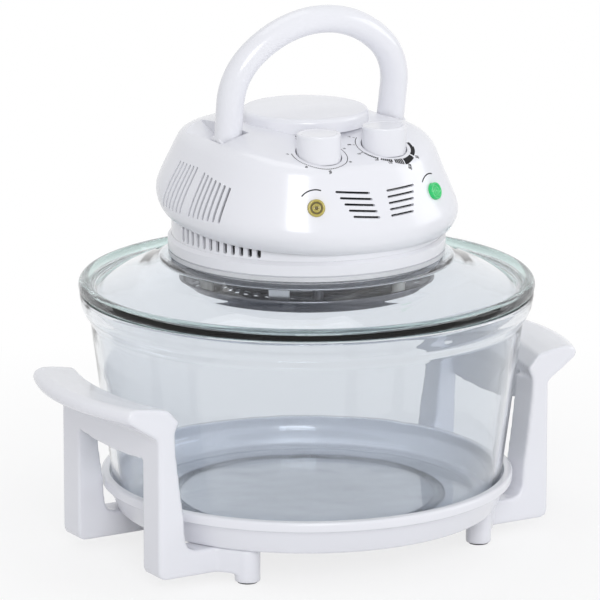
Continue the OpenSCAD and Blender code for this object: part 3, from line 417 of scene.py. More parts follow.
def quartz_in_painted_shade():
    """The ring lamp's quartz, coloured dark as a painted reflection of the head's dim inside."""
    shader = material("quartz_in_painted_shade")
    cloud = shader.noise(60, 2)
    return shader.surface(
        base_color=shader.mix(cloud, (0.05, 0.045, 0.045), (0.10, 0.09, 0.085)),
        roughness=0.08,
        coat_weight=0.5,
        normal=shader.bump(cloud, 0.1, 0.0005),
    )


class Finishes:
    """Every finish of the object, each made once."""

    def __init__(self, finish, glass):
        self.white = white_plastic(finish)
        self.glass = clear_glass(finish)
        self.ribbed = ribbed_glass(finish, glass)
        self.steel = brushed_steel("steel_sheet", (0.62, 0.63, 0.65), 0.28)
        # the polished steel and the reflector plate get bases far darker than bright steel: painted shade of
        # the head's dim inside
        self.mirror = brushed_steel("polished_steel", (0.16, 0.16, 0.175), 0.14, 300)
        self.plate_in_painted_shade = brushed_steel("plate_steel_in_painted_shade", (0.12, 0.12, 0.13), 0.3)
        self.dark = plain("dark_steel", (0.09, 0.09, 0.10), 0.35, metallic=0.6)
        self.rubber = plain("black_rubber", (0.045, 0.045, 0.05), 0.6, 700, 0.2)
        self.gasket = plain("pale_silicone", (0.68, 0.69, 0.72), 0.4, 500, 0.1)
        self.ceramic = plain("ceramic", (0.62, 0.62, 0.60), 0.65, 600, 0.2)
        # black plastic of the imported solids, and painted shade inside the base ring
        self.black_and_painted_shade = plain("black_plastic", (0.05, 0.05, 0.055), 0.4)
        self.brass = plain("brass", (0.72, 0.56, 0.28), 0.25, metallic=1.0)
        self.cast = brushed_steel("cast_aluminium", (0.70, 0.71, 0.72), 0.4, 1200)
        self.copper = wound_wire("wound_wire", (0.60, 0.26, 0.10))
        self.amber = signal_lens("amber_lens", finish.amber, 0.03)
        # darker amber for the lens's middle and groove: painted shade
        self.shadow = plain("amber_painted_shade", (0.13, 0.10, 0.03), 0.3)
        self.green = signal_lens("green_lens", finish.green, 0.2)
        self.quartz = quartz_in_painted_shade()
        self.bulb = plain("lamp_bulb", (0.90, 0.70, 0.50), 0.2)
        self.ink = plain("ink", finish.ink, 0.85, 900, 0.05)


MADE = {}


def finishes(context):
    """The finishes, made on first use."""
    if "finishes" not in MADE:
        MADE["finishes"] = Finishes(context.scene.oven_finish, context.scene.oven_glass)
    return MADE["finishes"]


# ---- meshes ----

LONG_RUN = 6 * MM  # a straight run longer than this gets two more points,
HOLD = 0.5 * MM  # at this distance from its ends, so that its shading stays flat
LARGEST_SHARE = 0.48  # of a run, for the rounding at one of its ends


def rounded(corners, steps=5):
    """An outline through (radius, height, rounding) corners in millimetres; long runs get held flat."""
    bend = 0.5523
    outline = []
    for i, (x, z, reach) in enumerate(corners):
        here = Vector((x, z))
        if reach == 0 or i in (0, len(corners) - 1):
            outline.append(here * MM)
            continue
        before = Vector(corners[i - 1][:2]) - here
        after = Vector(corners[i + 1][:2]) - here
        start = here + before.normalized() * min(reach, LARGEST_SHARE * before.length)
        end = here + after.normalized() * min(reach, LARGEST_SHARE * after.length)
        first = start.lerp(here, bend)
        last = end.lerp(here, bend)
        for k in range(steps + 1):
            t = k / steps
            point = start * (1 - t) ** 3 + first * 3 * t * (1 - t) ** 2
            point += last * 3 * t * t * (1 - t)
            point += end * t**3
            outline.append(point * MM)
    held = outline[:1]
    for before, after in zip(outline, outline[1:]):
        run = (after - before).length
        if run > LONG_RUN:
            held += [before.lerp(after, HOLD / run), before.lerp(after, 1 - HOLD / run)]
        held.append(after)
    return held


def turn(outline, steps, closed=False):
    """A bmesh of (radius, height) points spun about the upright axis."""
    bm = bmesh.new()
    verts = [bm.verts.new((radius, 0, height)) for radius, height in outline]
    pairs = list(zip(verts, verts[1:]))
    if closed:
        pairs.append((verts[-1], verts[0]))
    edges = [bm.edges.new(pair) for pair in pairs]
    bmesh.ops.spin(bm, geom=verts + edges, cent=(0, 0, 0), axis=UP, angle=2 * pi, steps=steps, use_merge=True)
    bmesh.ops.remove_doubles(bm, verts=bm.verts, dist=NEAR)
    return bm


def put(name, data):
    """Adds an object to the scene."""
    obj = bpy.data.objects.new(name, data)
    bpy.context.scene.collection.objects.link(obj)
    return obj


def put_mesh(name, bm, *materials):
    """Adds a bmesh to the scene as an object."""
    mesh = bpy.data.meshes.new(name)
    bm.to_mesh(mesh)
    bm.free()
    for each in materials:
        mesh.materials.append(each)
    return put(name, mesh)


def smooth(mesh, sharp):
    """Shades a mesh smooth, with hard edges past an angle in degrees."""
    mesh.shade_smooth()
    mesh.set_sharp_from_angle(angle=radians(sharp))


def finish_mesh(name, bm, *materials, sharp=35):
    """Turns a bmesh into an object with outward faces and smooth shading."""
    bmesh.ops.remove_doubles(bm, verts=bm.verts, dist=NEAR)
    bmesh.ops.dissolve_degenerate(bm, dist=NEAR / 10, edges=bm.edges)
    bmesh.ops.recalc_face_normals(bm, faces=bm.faces)
    obj = put_mesh(name, bm, *materials)
    smooth(obj.data, sharp)
    return obj


def finish_print(name, bm, up, ink):
    """Turns flat print into an object whose faces look along up."""
    bmesh.ops.recalc_face_normals(bm, faces=bm.faces)
    bmesh.ops.reverse_faces(bm, faces=[face for face in bm.faces if face.normal.dot(up) < 0])
    return hand_over(put_mesh(name, bm, ink), "lid", "black_plastic")


def evaluated(obj):
    """A new mesh of an object with its modifiers, or its text, worked out."""
    return bpy.data.meshes.new_from_object(obj.evaluated_get(bpy.context.evaluated_depsgraph_get()))


def settle(obj, sharp=35):
    """Applies an object's modifiers to its mesh."""
    mesh = evaluated(obj)
    obj.modifiers.clear()
    old = obj.data
    obj.data = mesh
    bpy.data.meshes.remove(old)
    mesh.name = obj.name
    smooth(mesh, sharp)


def subtract(obj, cutter):
    """Takes the cutter's shape out of an object, and removes the cutter."""
    modifier = obj.modifiers.new("cut", "BOOLEAN")
    modifier.operation = "DIFFERENCE"
    modifier.solver = "EXACT"
    modifier.use_self = True
    modifier.object = cutter
    settle(obj)
    bpy.data.objects.remove(cutter)


def cut(obj, bm):
    """Takes a closed solid out of an object."""
    subtract(obj, finish_mesh("cutter", bm))


def hand_over(obj, body, slot, *nodes):
    """Gives a finished piece its body and hides the nodes that it stands for; the slot is not used."""
    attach(obj, body)
    if nodes:
        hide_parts(*nodes)
    return obj


def copy_of(node):
    """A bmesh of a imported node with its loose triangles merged."""
    bm = bmesh.new()
    bm.from_mesh(frame["nodes"][node].data)
    bmesh.ops.remove_doubles(bm, verts=bm.verts, dist=NEAR)
    bmesh.ops.dissolve_limit(bm, angle_limit=radians(0.5), verts=bm.verts, edges=bm.edges)
    return bm


def box(bm, low, high, place):
    """Adds a box between two corners, then moves it to its place."""
    low, high = Vector(low), Vector(high)
    made = bmesh.ops.create_cube(bm, size=1)["verts"]
    bmesh.ops.scale(bm, vec=high - low, verts=made)
    bmesh.ops.translate(bm, vec=(low + high) / 2, verts=made)
    bmesh.ops.transform(bm, matrix=place, verts=made)
    return made


def drum(bm, radius, low, high, place, segments=64):
    """Adds an upright cylinder between two heights, then moves it to its place."""
    made = bmesh.ops.create_cone(
        bm, cap_ends=True, segments=segments, radius1=radius, radius2=radius, depth=high - low
    )["verts"]
    bmesh.ops.translate(bm, vec=(0, 0, (low + high) / 2), verts=made)
    bmesh.ops.transform(bm, matrix=place, verts=made)
    return made


def round_edges(bm, edges, radius, segments):
    """Rounds edges to a radius."""
    bmesh.ops.bevel(
        bm, geom=list(edges), offset=radius, segments=segments, profile=0.5, affect="EDGES", material=-1
    )


def pull_ring(bm, edges):
    """Extrudes a ring of edges; gives the new points and the new ring."""
    made = bmesh.ops.extrude_edge_only(bm, edges=edges)["geom"]
    fresh = {item for item in made if isinstance(item, bmesh.types.BMVert)}
    pulled = [item for item in made if isinstance(item, bmesh.types.BMEdge)]
    return fresh, [edge for edge in pulled if fresh.issuperset(edge.verts)]


def sweep(bm, points, centre, turned, steps):
    """Adds the strips that a row of points makes as it turns clockwise about a centre, in degrees."""
    verts = [bm.verts.new(point) for point in points]
    edges = [bm.edges.new(pair) for pair in zip(verts, verts[1:])]
    bmesh.ops.spin(
        bm, geom=verts + edges, cent=centre, axis=UP, angle=-radians(turned), steps=steps, use_merge=False
    )


# ---- the housing's surface ----

# sections from the lower edge up, in millimetres above the head's base: [half width less than the
# widest, height, share of the tilt, how far the wall is measured downwards there, how much rounder
# the plan is]
HEAD_ROWS = [
    (3.1, 22, 1, 0, 0.4), (1.3, 24.5, 1, 0, 0.35), (0.1, 29, 1, 0, 0.25), (0.3, 35, 1, 0, 0.1),
    (1.8, 41, 1, 0, 0), (4.4, 48.5, 1, 0.05, 0), (7.3, 55.5, 0.95, 0.1, 0), (10.9, 64, 0.85, 0.2, 0),
    (14.1, 72, 0.7, 0.3, 0), (17.4, 79, 0.52, 0.5, 0), (22.1, 84, 0.32, 0.8, 0), (28.7, 87.6, 0.16, 1, 0),
    (36.7, 90.3, 0.06, 1, 0), (46.7, 92.6, 0, 1, 0), (60.7, 94.4, 0, 1, 0), (82.7, 95.4, 0, 1, 0),
]
OVER_HEAD = 340 * MM  # a height over the whole housing
HOLLOW_FOOT = (3.1, 16, 1, 0, 0.4)  # a lower section, where the solid that hollows the housing starts


def plan_radius(head, half, direction, rounder):
    """Radius of the squared plan in a direction, a little rounder near the lower edge."""
    power = head.squareness - rounder
    return half / (abs(cos(direction)) ** power + abs(sin(direction)) ** power) ** (1 / power)


def panel_at(head, y):
    """Height of the sloping control panel at y."""
    return head.panel_height + head.panel_slope * (y - head.panel_front)


def soft_min(a, b, blend):
    """The lower of two heights, with a soft edge as wide as blend between them."""
    near = max(blend - abs(a - b), 0) / blend
    return min(a, b) - near * near * blend / 4


def between_rows(position):
    """A section between the listed ones, on a smooth curve through them."""
    last = len(HEAD_ROWS) - 1
    index = min(int(position), last - 1)
    t = position - index
    a, b, c, d = (HEAD_ROWS[min(max(index + k, 0), last)] for k in (-1, 0, 1, 2))
    return [
        0.5 * (2 * q + (r - p) * t + (2 * p - 5 * q + 4 * r - s) * t**2 + (3 * q - p - 3 * r + s) * t**3)
        for p, q, r, s in zip(a, b, c, d)
    ]


def shape_row(head, verts, row, inset):
    """Moves a ring of points onto one section of the housing."""
    less, height, share, down, rounder = row
    half = head.half_width - less * MM - inset
    for i, vert in enumerate(verts):
        direction = 2 * pi * i / len(verts)
        radius = plan_radius(head, half, direction, rounder)
        y = radius * sin(direction)
        x = radius * cos(direction)
        z = head.base + height * MM + share * (head.tilt * y - head.roll * x) / half
        vert.co = (x, y, soft_min(z - inset * down, panel_at(head, y) - inset, head.panel_blend))


def dome(head, inset, segments, between, foot=None):
    """A closed solid of the housing's outer form, moved inwards by inset."""
    bm = bmesh.new()
    rows = [between_rows(k / between) for k in range((len(HEAD_ROWS) - 1) * between + 1)]
    if foot:
        rows.insert(0, foot)
    order = bmesh.ops.create_circle(bm, segments=segments, radius=1)["verts"]
    edges = bottom = list(bm.edges)
    shape_row(head, order, rows[0], inset)
    for row in rows[1:]:
        fresh, edges = pull_ring(bm, edges)
        order = [next(e.other_vert(v) for e in v.link_edges if e.other_vert(v) in fresh) for v in order]
        shape_row(head, order, row, inset)
    for ring in (edges, bottom):
        bmesh.ops.edgenet_fill(bm, edges=ring)
    bmesh.ops.recalc_face_normals(bm, faces=bm.faces)
    return bm


# ---- operators ----


class OVEN_OT_tray(bpy.types.Operator):
    """Makes the white tray that the bowl stands in"""

    bl_idname = "oven.tray"
    bl_label = "Tray"

    def execute(self, context):
        stand = context.scene.oven_stand
        top, bottom = stand.tray_top / MM, stand.tray_bottom / MM
        rim, base = stand.tray_radius / MM, stand.tray_base / MM
        floor = bottom + stand.floor / MM
        lip = top - 7.4
        corners = [
            (0, bottom, 0), (base, bottom, 2.2), (rim - 3.8, lip, 0.8), (rim - 0.4, lip, 1.2),
            (rim, top, 2.2), (rim - 6.6, top, 1.2), (rim - 6.7, lip, 1.5),
            (base - 2, floor, 2.4), (0, floor, 0),
        ]
        tray = finish_mesh("tray", turn(rounded(corners), 256), finishes(context).white)
        hand_over(tray, "stand", "white_plastic", "stand_tray")
        return {"FINISHED"}


class OVEN_OT_brackets(bpy.types.Operator):
    """Makes the two brackets with their grips, posts, arms and feet"""

    bl_idname = "oven.brackets"
    bl_label = "Brackets"

    def execute(self, context):
        stand = context.scene.oven_stand
        for side in ("left", "right"):
            node = "bracket_" + side
            piece = finish_mesh("moulded_" + node, copy_of(node), finishes(context).white)
            remesh = piece.modifiers.new("remesh", "REMESH")
            remesh.mode = "VOXEL"
            remesh.voxel_size = stand.rounding
            soften = piece.modifiers.new("soften", "SMOOTH")
            soften.factor = 0.5
            soften.iterations = 5
            settle(piece, 60)
            hand_over(piece, "stand", "white_plastic", node)
        return {"FINISHED"}


class OVEN_OT_bowl(bpy.types.Operator):
    """Makes the clear glass bowl"""

    bl_idname = "oven.bowl"
    bl_label = "Glass bowl"

    def execute(self, context):
        glass = context.scene.oven_glass
        rim, foot, top = glass.bowl_radius / MM, glass.bowl_foot / MM, glass.bowl_rim / MM
        wall = glass.wall / MM
        under = top - 20.5
        side = rim - 7.5
        slope = 0.13
        base = side - slope * (under - foot)
        corners = [
            (0, foot, 0), (base, foot, 17.6), (side, under, 2.5), (side + 2, under + 2.9, 2.2),
            (rim - 1.6, under + 8.1, 4), (rim, top - 1.5, 1.4), (rim - 1.2, top, 1.0),
            (rim - 7.1, top, 1.2), (rim - 7.5, top - 5, 3), (side - wall, under, 4),
            (base - wall + slope * wall, foot + wall, 13.4), (0, foot + wall, 0),
        ]
        bowl = finish_mesh("clear_bowl", turn(rounded(corners, 8), 256), finishes(context).ribbed, sharp=60)
        hand_over(bowl, "bowl", "clear_glass", "glass_bowl")
        return {"FINISHED"}


class OVEN_OT_lid(bpy.types.Operator):
    """Makes the domed glass lid"""

    bl_idname = "oven.lid"
    bl_label = "Glass lid"

    def execute(self, context):
        glass = context.scene.oven_glass
        seat, rim = glass.lid_seat / MM, glass.lid_radius / MM
        collar, hole = glass.collar_radius / MM, glass.hole_radius / MM
        rise, wall = glass.lid_rise / MM, glass.lid_wall / MM
        edge, low = rim - 13, 2.3
        shares = [(1, 0), (0.762, 0.268), (0.505, 0.482), (0.307, 0.626), (0.149, 0.805), (0, 1)]
        upper = [(collar + (edge - collar) * a, seat + low + (rise - low) * b, 9) for a, b in shares]
        lower = [(x, z - wall, reach) for x, z, reach in reversed(upper)]
        step = glass.bowl_radius / MM - 8.1
        corners = [
            (step, seat, 0.3), (rim - 2.5, seat, 1.2), (rim - 0.4, seat + 1.4, 1.2), (rim, seat + 4.6, 2),
            (rim - 0.9, seat + 7.2, 1.6), (rim - 3, seat + 8.9, 1.6), (rim - 5.5, seat + 9.2, 1.6),
            (rim - 8, seat + 8, 1.6), (rim - 9.7, seat + 5, 1.6), (rim - 10.8, seat + 2.9, 1.2),
            *upper, (hole, seat + rise, 0.6), (hole, seat + rise - wall, 0.6), *lower,
            (edge + 1.5, seat - 2.6, 1), (step, seat - 2.6, 0.8),
        ]
        outline = rounded([*corners, corners[0]], 6)[1:]
        lid = finish_mesh("clear_lid", turn(outline, 256, closed=True), finishes(context).glass, sharp=60)
        hand_over(lid, "lid", "clear_glass", "glass_lid")
        return {"FINISHED"}


class OVEN_OT_base_ring(bpy.types.Operator):
    """Makes the head's white base ring with its upright slots"""

    bl_idname = "oven.base_ring"
    bl_label = "Base ring"

    wall = 2.4 * MM
    painted_shade_from = 8 * MM

    def execute(self, context):
        head, made = context.scene.oven_head, finishes(context)
        inside = head.tier_radius - self.wall
        bm = copy_of("base_ring")
        # the ring is white inside; its inner faces above this height get the black finish as painted shade
        for face in bm.faces:
            middle = face.calc_center_median()
            if Vector(middle[:2]).length < inside and middle.z > head.base + self.painted_shade_from:
                face.material_index = 1
        ring = finish_mesh("vented_ring", bm, made.white, made.black_and_painted_shade, sharp=30)
        hand_over(ring, "lid", "white_plastic", "base_ring")
        return {"FINISHED"}


class OVEN_OT_housing(bpy.types.Operator):
    """Makes the white housing with its panel, deck, vents and pockets"""

    bl_idname = "oven.housing"
    bl_label = "Upper housing"

    side_slots = [65.5 + 3.1 * i for i in range(7)] + [91 + 3.1 * i for i in range(6)]
    side_slot, side_round = 2.2 * MM, 1.05 * MM
    side_from, side_to = 77 * MM, 115 * MM
    side_low, side_rise = 34.3, 0.07
    side_high, side_drop = 68.5, 0.3
    side_lean = 9
    front_rows = 5
    front_low, front_pitch = 39.4 * MM, 4.2 * MM
    front_slot, front_round = 1.6 * MM, 0.78 * MM
    front_from, front_to = -110 * MM, -70 * MM
    # where a group of front slots starts and ends, how far its two ends move from row to row, and its
    # rise in degrees
    front_groups = ((1.4, -20, -1.1, -2.5, 7), (10.8, 30.8, 0, 1.2, 2.2))
    wall = 2 * MM
    knob_gap, knob_seat = 0.85 * MM, 0.4 * MM
    lamp_gap, lamp_room = 0.1 * MM, (-12 * MM, 20 * MM)
    tier_gap, tier_room = 0.15 * MM, (-2 * MM, 35.5 * MM)
    pocket_gap = 0.5 * MM
    fold_reach = 90 * MM

    def slot(self, bm, low, high, place, depth, rounding):
        """Adds the solid of a slot between two corners, with round ends."""
        made = box(bm, low, high, place)
        edges = {e for v in made for e in v.link_edges if abs(e.calc_length() - depth) < 10 * NEAR}
        round_edges(bm, edges, rounding, 4)

    def slots(self, head):
        """Solids of the vents in both sides and the front."""
        bm = bmesh.new()
        for turned_by in self.side_slots:
            front = max(90 - turned_by, 0)
            low = (self.side_low + self.side_rise * front) * MM
            high = (self.side_high - self.side_drop * front) * MM
            half = (high - low) / 2
            for side in (-1, 1):
                place = Matrix.Rotation(radians(side * turned_by - 90), 4, "Z")
                place @= Matrix.Translation((0, 0, head.base + (low + high) / 2))
                place @= Matrix.Rotation(radians(side * self.side_lean), 4, "X")
                low_corner = (self.side_from, -self.side_slot / 2, -half)
                high_corner = (self.side_to, self.side_slot / 2, half)
                self.slot(bm, low_corner, high_corner, place, self.side_to - self.side_from, self.side_round)
        for row in range(self.front_rows):
            z = head.base + self.front_low + row * self.front_pitch
            for first, last, shift_first, shift_last, rise in self.front_groups:
                inner = (first + shift_first * row) * MM
                run = (last + shift_last * row) * MM - inner
                place = Matrix.Translation((inner, 0, z))
                place @= Matrix.Rotation(radians(-rise if run > 0 else rise), 4, "Y")
                low, high = (min(0, run), self.front_from, 0), (max(0, run), self.front_to, self.front_slot)
                self.slot(bm, low, high, place, self.front_to - self.front_from, self.front_round)
        return bm

    def cups(self, controls, wall):
        """Solids of the knobs' recesses, grown by a wall."""
        bm = bmesh.new()
        for side in (-1, 1):
            radius = controls.knob_radius + self.knob_gap + wall
            foot = controls.knob_foot - self.knob_seat - wall
            drum(bm, radius, foot, OVER_HEAD, Matrix.Translation(knob_axis(controls, side)), 96)
        return bm

    def bores(self, head, controls):
        """Solids of the lamps' bores and of the room for the base ring."""
        bm = bmesh.new()
        for side in (-1, 1):
            drum(bm, controls.lamp_radius + self.lamp_gap, *self.lamp_room, lamp_place(head, controls, side))
        at_base = Matrix.Translation((0, 0, head.base))
        drum(bm, head.tier_radius + self.tier_gap, *self.tier_room, at_base, 192)
        return bm

    def pocket_hubs(self, handle, wall):
        """Solids of the round ends of the handle's pockets, grown by a wall."""
        bm = bmesh.new()
        near, far = handle_pocket(handle)
        half = (far - near) / 2 + wall
        clear = handle.tube + self.pocket_gap + wall
        for side in (-1, 1):
            drum(bm, clear, -half, half, across(handle, side * (near + far) / 2), 96)
        return bm

    def pocket_sweeps(self, handle, wall):
        """Solids of the room that the handle's legs fold through, grown by a wall."""
        bm = bmesh.new()
        near, far = handle_pocket(handle)
        clear = handle.tube + self.pocket_gap + wall
        fold, rake = handle.fold, handle.rake
        low = Vector((clear * cos(fold), -clear * sin(fold)))
        front = Vector((-clear * cos(rake), -clear * sin(rake)))
        outline = [
            front, Vector((0, -MM)), low, low + self.fold_reach * Vector((sin(fold), cos(fold))),
            front + self.fold_reach * Vector((-sin(rake), cos(rake))),
        ]
        for side in (-1, 1):
            verts = [
                bm.verts.new((side * (near - wall), handle.pivot_back + y, handle.pivot_height + z))
                for y, z in outline
            ]
            made = bmesh.ops.extrude_face_region(bm, geom=[bm.faces.new(verts)])["geom"]
            moved = [item for item in made if isinstance(item, bmesh.types.BMVert)]
            bmesh.ops.translate(bm, vec=(side * (far - near + 2 * wall), 0, 0), verts=moved)
        return bm

    def rooms(self, context, wall):
        """Solids of the knobs' recesses and the handle's pockets, grown by a wall."""
        handle = context.scene.oven_handle
        cups = self.cups(context.scene.oven_controls, wall)
        return [cups, self.pocket_hubs(handle, wall), self.pocket_sweeps(handle, wall)]

    def execute(self, context):
        head, controls = context.scene.oven_head, context.scene.oven_controls
        shell = finish_mesh("moulded_housing", dome(head, 0, 288, 5), finishes(context).white, sharp=40)
        hollow = finish_mesh("hollow", dome(head, head.shell, 144, 2, HOLLOW_FOOT))
        for room in self.rooms(context, self.wall):
            cut(hollow, room)
        subtract(shell, hollow)
        for opening in (*self.rooms(context, 0), self.bores(head, controls), self.slots(head)):
            cut(shell, opening)
        MADE["panel"] = BVHTree.FromPolygons(
            [v.co.copy() for v in shell.data.vertices], [list(p.vertices) for p in shell.data.polygons]
        )
        hand_over(shell, "lid", "white_plastic", "upper_housing")
        self.deck(context, head)
        return {"FINISHED"}

    def deck(self, context, head):
        """The raised round cap on top."""
        top, radius = head.deck_top / MM, head.deck_radius / MM
        corners = [
            (0, top - 12, 0), (radius, top - 12, 0), (radius, top - 1.7, 3.2),
            (radius / 2, top - 0.35, 12), (0, top, 0),
        ]
        bm = turn(rounded(corners, 8), 160)
        bmesh.ops.translate(bm, vec=(0, head.deck_back, 0), verts=bm.verts)
        hand_over(finish_mesh("raised_deck", bm, finishes(context).white), "lid", "white_plastic")


class OVEN_OT_handle(bpy.types.Operator):
    """Makes the white carry handle"""

    bl_idname = "oven.handle"
    bl_label = "Carry handle"

    sides = 56
    hub_rounding = 1.2 * MM

    def stations(self, handle):
        """Places along the tube from the right hub to the left one, each across the line there."""
        end = degrees(pi / 2 + handle.lean)
        side = degrees(handle.crown_angle)
        crown_z = handle.pivot_height + handle.crown_top - handle.crown
        reach = handle.crown - handle.shoulder
        shoulder = (reach * sin(handle.crown_angle), crown_z + reach * cos(handle.crown_angle))
        found = [(hub_distance(handle), handle.pivot_height, end)]
        for centre_x, centre_z, radius, first, last, steps in (
            (*shoulder, handle.shoulder, end, side, 26),
            (0, crown_z, handle.crown, side, -side, 50),
            (-shoulder[0], shoulder[1], handle.shoulder, -side, -end, 26),
        ):
            for k in range(steps + 1):
                at = first + (last - first) * k / steps
                turned = radians(at)
                found.append((centre_x + radius * sin(turned), centre_z + radius * cos(turned), at))
        found.append((-hub_distance(handle), handle.pivot_height, -end))
        raked = Matrix.Translation((0, handle.pivot_back, handle.pivot_height))
        raked @= Matrix.Rotation(handle.rake, 4, "X")
        return [
            raked
            @ Matrix.Translation((x, 0, z - handle.pivot_height))
            @ Matrix.Rotation(radians(at - 90), 4, "Y")
            for x, z, at in found
        ]

    def execute(self, context):
        handle = context.scene.oven_handle
        places = self.stations(handle)
        bm = bmesh.new()
        bmesh.ops.create_circle(
            bm, segments=self.sides, radius=handle.tube, matrix=places[0], cap_ends=True
        )
        edges = bm.edges[:]
        for before, after in zip(places, places[1:]):
            if (after.translation - before.translation).length < 10 * NEAR:
                continue
            fresh, edges = pull_ring(bm, edges)
            bmesh.ops.transform(bm, matrix=after @ before.inverted(), verts=list(fresh))
        bmesh.ops.edgenet_fill(bm, edges=edges)
        obj = finish_mesh("handle_tube", bm, finishes(context).white)
        bm = bmesh.new()
        bm.from_mesh(obj.data)
        for side in (-1, 1):
            place = across(handle, side * hub_distance(handle))
            made = drum(bm, handle.tube, -handle.tube, handle.tube, place)
            rims = {e for v in made for e in v.link_edges if abs(e.verts[0].co.x - e.verts[1].co.x) < NEAR}
            round_edges(bm, rims, self.hub_rounding, 3)
        bm.to_mesh(obj.data)
        bm.free()
        smooth(obj.data, 40)
        hand_over(obj, "handle", "white_plastic", "carry_handle")
        return {"FINISHED"}


class OVEN_OT_knobs(bpy.types.Operator):
    """Makes the timer's knob and the thermostat's knob"""

    bl_idname = "oven.knobs"
    bl_label = "Knobs"

    def execute(self, context):
        controls = context.scene.oven_controls
        foot, radius = controls.knob_foot / MM, controls.knob_radius / MM
        top = foot + controls.knob_height / MM
        corners = [
            (3.2, foot + 1.5, 0.2), (5, foot + 1.5, 0.3), (5, top - 3, 0.5), (radius - 2.4, top - 3, 1),
            (radius - 2.4, foot, 0.3), (radius, foot, 0.3), (radius, top, 1.3), (radius - 2.6, top, 0.8),
            (radius - 3.3, top - 0.5, 0.6), (0, top - 0.4, 0),
        ]
        for side, name in ((-1, "timer"), (1, "thermostat")):
            bm = turn(rounded(corners, 4), 128)
            bmesh.ops.translate(bm, vec=knob_axis(controls, side), verts=bm.verts)
            knob = finish_mesh(name + "_knob_cap", bm, finishes(context).white)
            hand_over(knob, name + "_dial", "white_plastic", name + "_knob")
        return {"FINISHED"}


class OVEN_OT_dials(bpy.types.Operator):
    """Prints the arcs, ticks and figures round both knobs"""

    bl_idname = "oven.dials"
    bl_label = "Dial print"

    strip = 0.4 * MM
    weight = 0.08 * MM
    lift = 0.1 * MM

    def drape(self, bm):
        """Lays flat print on the panel."""
        for vert in bm.verts:
            hit = MADE["panel"].ray_cast(vert.co + UP * OVER_HEAD, -UP)[0]
            if hit:
                vert.co.z = hit.z + self.lift

    def arc(self, bm, centre, radius, width, first, last):
        """Adds part of a ring; angles in degrees, clockwise from the rear."""
        start = radians(90 - first)
        strips = max(1, int(width / self.strip))
        reach = [radius + width * (k / strips - 0.5) for k in range(strips + 1)]
        points = [centre + r * Vector((cos(start), sin(start), 0)) for r in reach]
        sweep(bm, points, centre, last - first, max(2, int((last - first) / 2)))

    def tick(self, bm, centre, at, inner, outer, width):
        """Adds a short radial line."""
        half = degrees(width / outer) / 2
        self.arc(bm, centre, (inner + outer) / 2, outer - inner, at - half, at + half)

    def figure(self, bm, text, centre, size):
        """Adds a figure as flat faces."""
        curve = bpy.data.curves.new("figure", "FONT")
        curve.body = text
        curve.size = size
        curve.offset = self.weight
        curve.align_x = "CENTER"
        curve.align_y = "CENTER"
        carrier = put("figure", curve)
        mesh = evaluated(carrier)
        mesh.transform(Matrix.Translation(centre))
        bm.from_mesh(mesh)
        bpy.data.objects.remove(carrier)
        bpy.data.curves.remove(curve)
        bpy.data.meshes.remove(mesh)

    def print_dial(self, context, name, side, arcs, ticks, figures):
        """One dial: its arcs, ticks and figures, laid on the panel."""
        controls = context.scene.oven_controls
        radius = controls.dial_radius
        centre = knob_axis(controls, side)
        bm = bmesh.new()
        for first, last, out, width in arcs:
            self.arc(bm, centre, radius + out * MM, width * MM, first, last)
        for at, inner, outer, width in ticks:
            self.tick(bm, centre, at, radius + inner * MM, radius + outer * MM, width * MM)
        for text, at, out in figures:
            turned = radians(90 - at)
            spot = centre + (radius + out * MM) * Vector((cos(turned), sin(turned), 0))
            self.figure(bm, text, spot, controls.figure)
        self.drape(bm)
        finish_print(name, bm, UP, finishes(context).ink)

    def execute(self, context):
        fine = [(at, -0.5, 0.15, 0.95) for at in range(148, 262, 4)]
        self.print_dial(
            context, "timer_dial_print", -1,
            [(60, 146, 0, 0.5), (262, 285, -0.4, 0.6)], [*fine, (349, 1.2, 4.2, 0.5)],
            [("0", 354, 6.4), ("10", 82, 2.8), ("20", 131, 2.4), ("30", 189, 1.7), ("45", 233, 2.4),
             ("60", 283, 2.8)],
        )
        band = [
            (at, -0.7 - 0.012 * (252 - at), 0.6 + 0.018 * (252 - at), 1.15)
            for at in range(172, 253, 4) if at not in (192, 220)
        ]
        lines = [(at, 0.8, 2.6, 0.5) for at in (257, 287, 316)]
        self.print_dial(
            context, "thermostat_dial_print", 1,
            [(88, 104, -0.1, 2.2), (104, 137, 0.2, 2.9), (141, 168, 0.5, 3.4), (254, 320, 0, 0.5)],
            [*band, *lines],
            [("65", 314, 5.0), ("100", 287, 5.0), ("125", 256, 4.6), ("150", 224, 3.0), ("175", 200, 2.6),
             ("200", 160, 3.2), ("250", 133, 3.6)],
        )
        return {"FINISHED"}


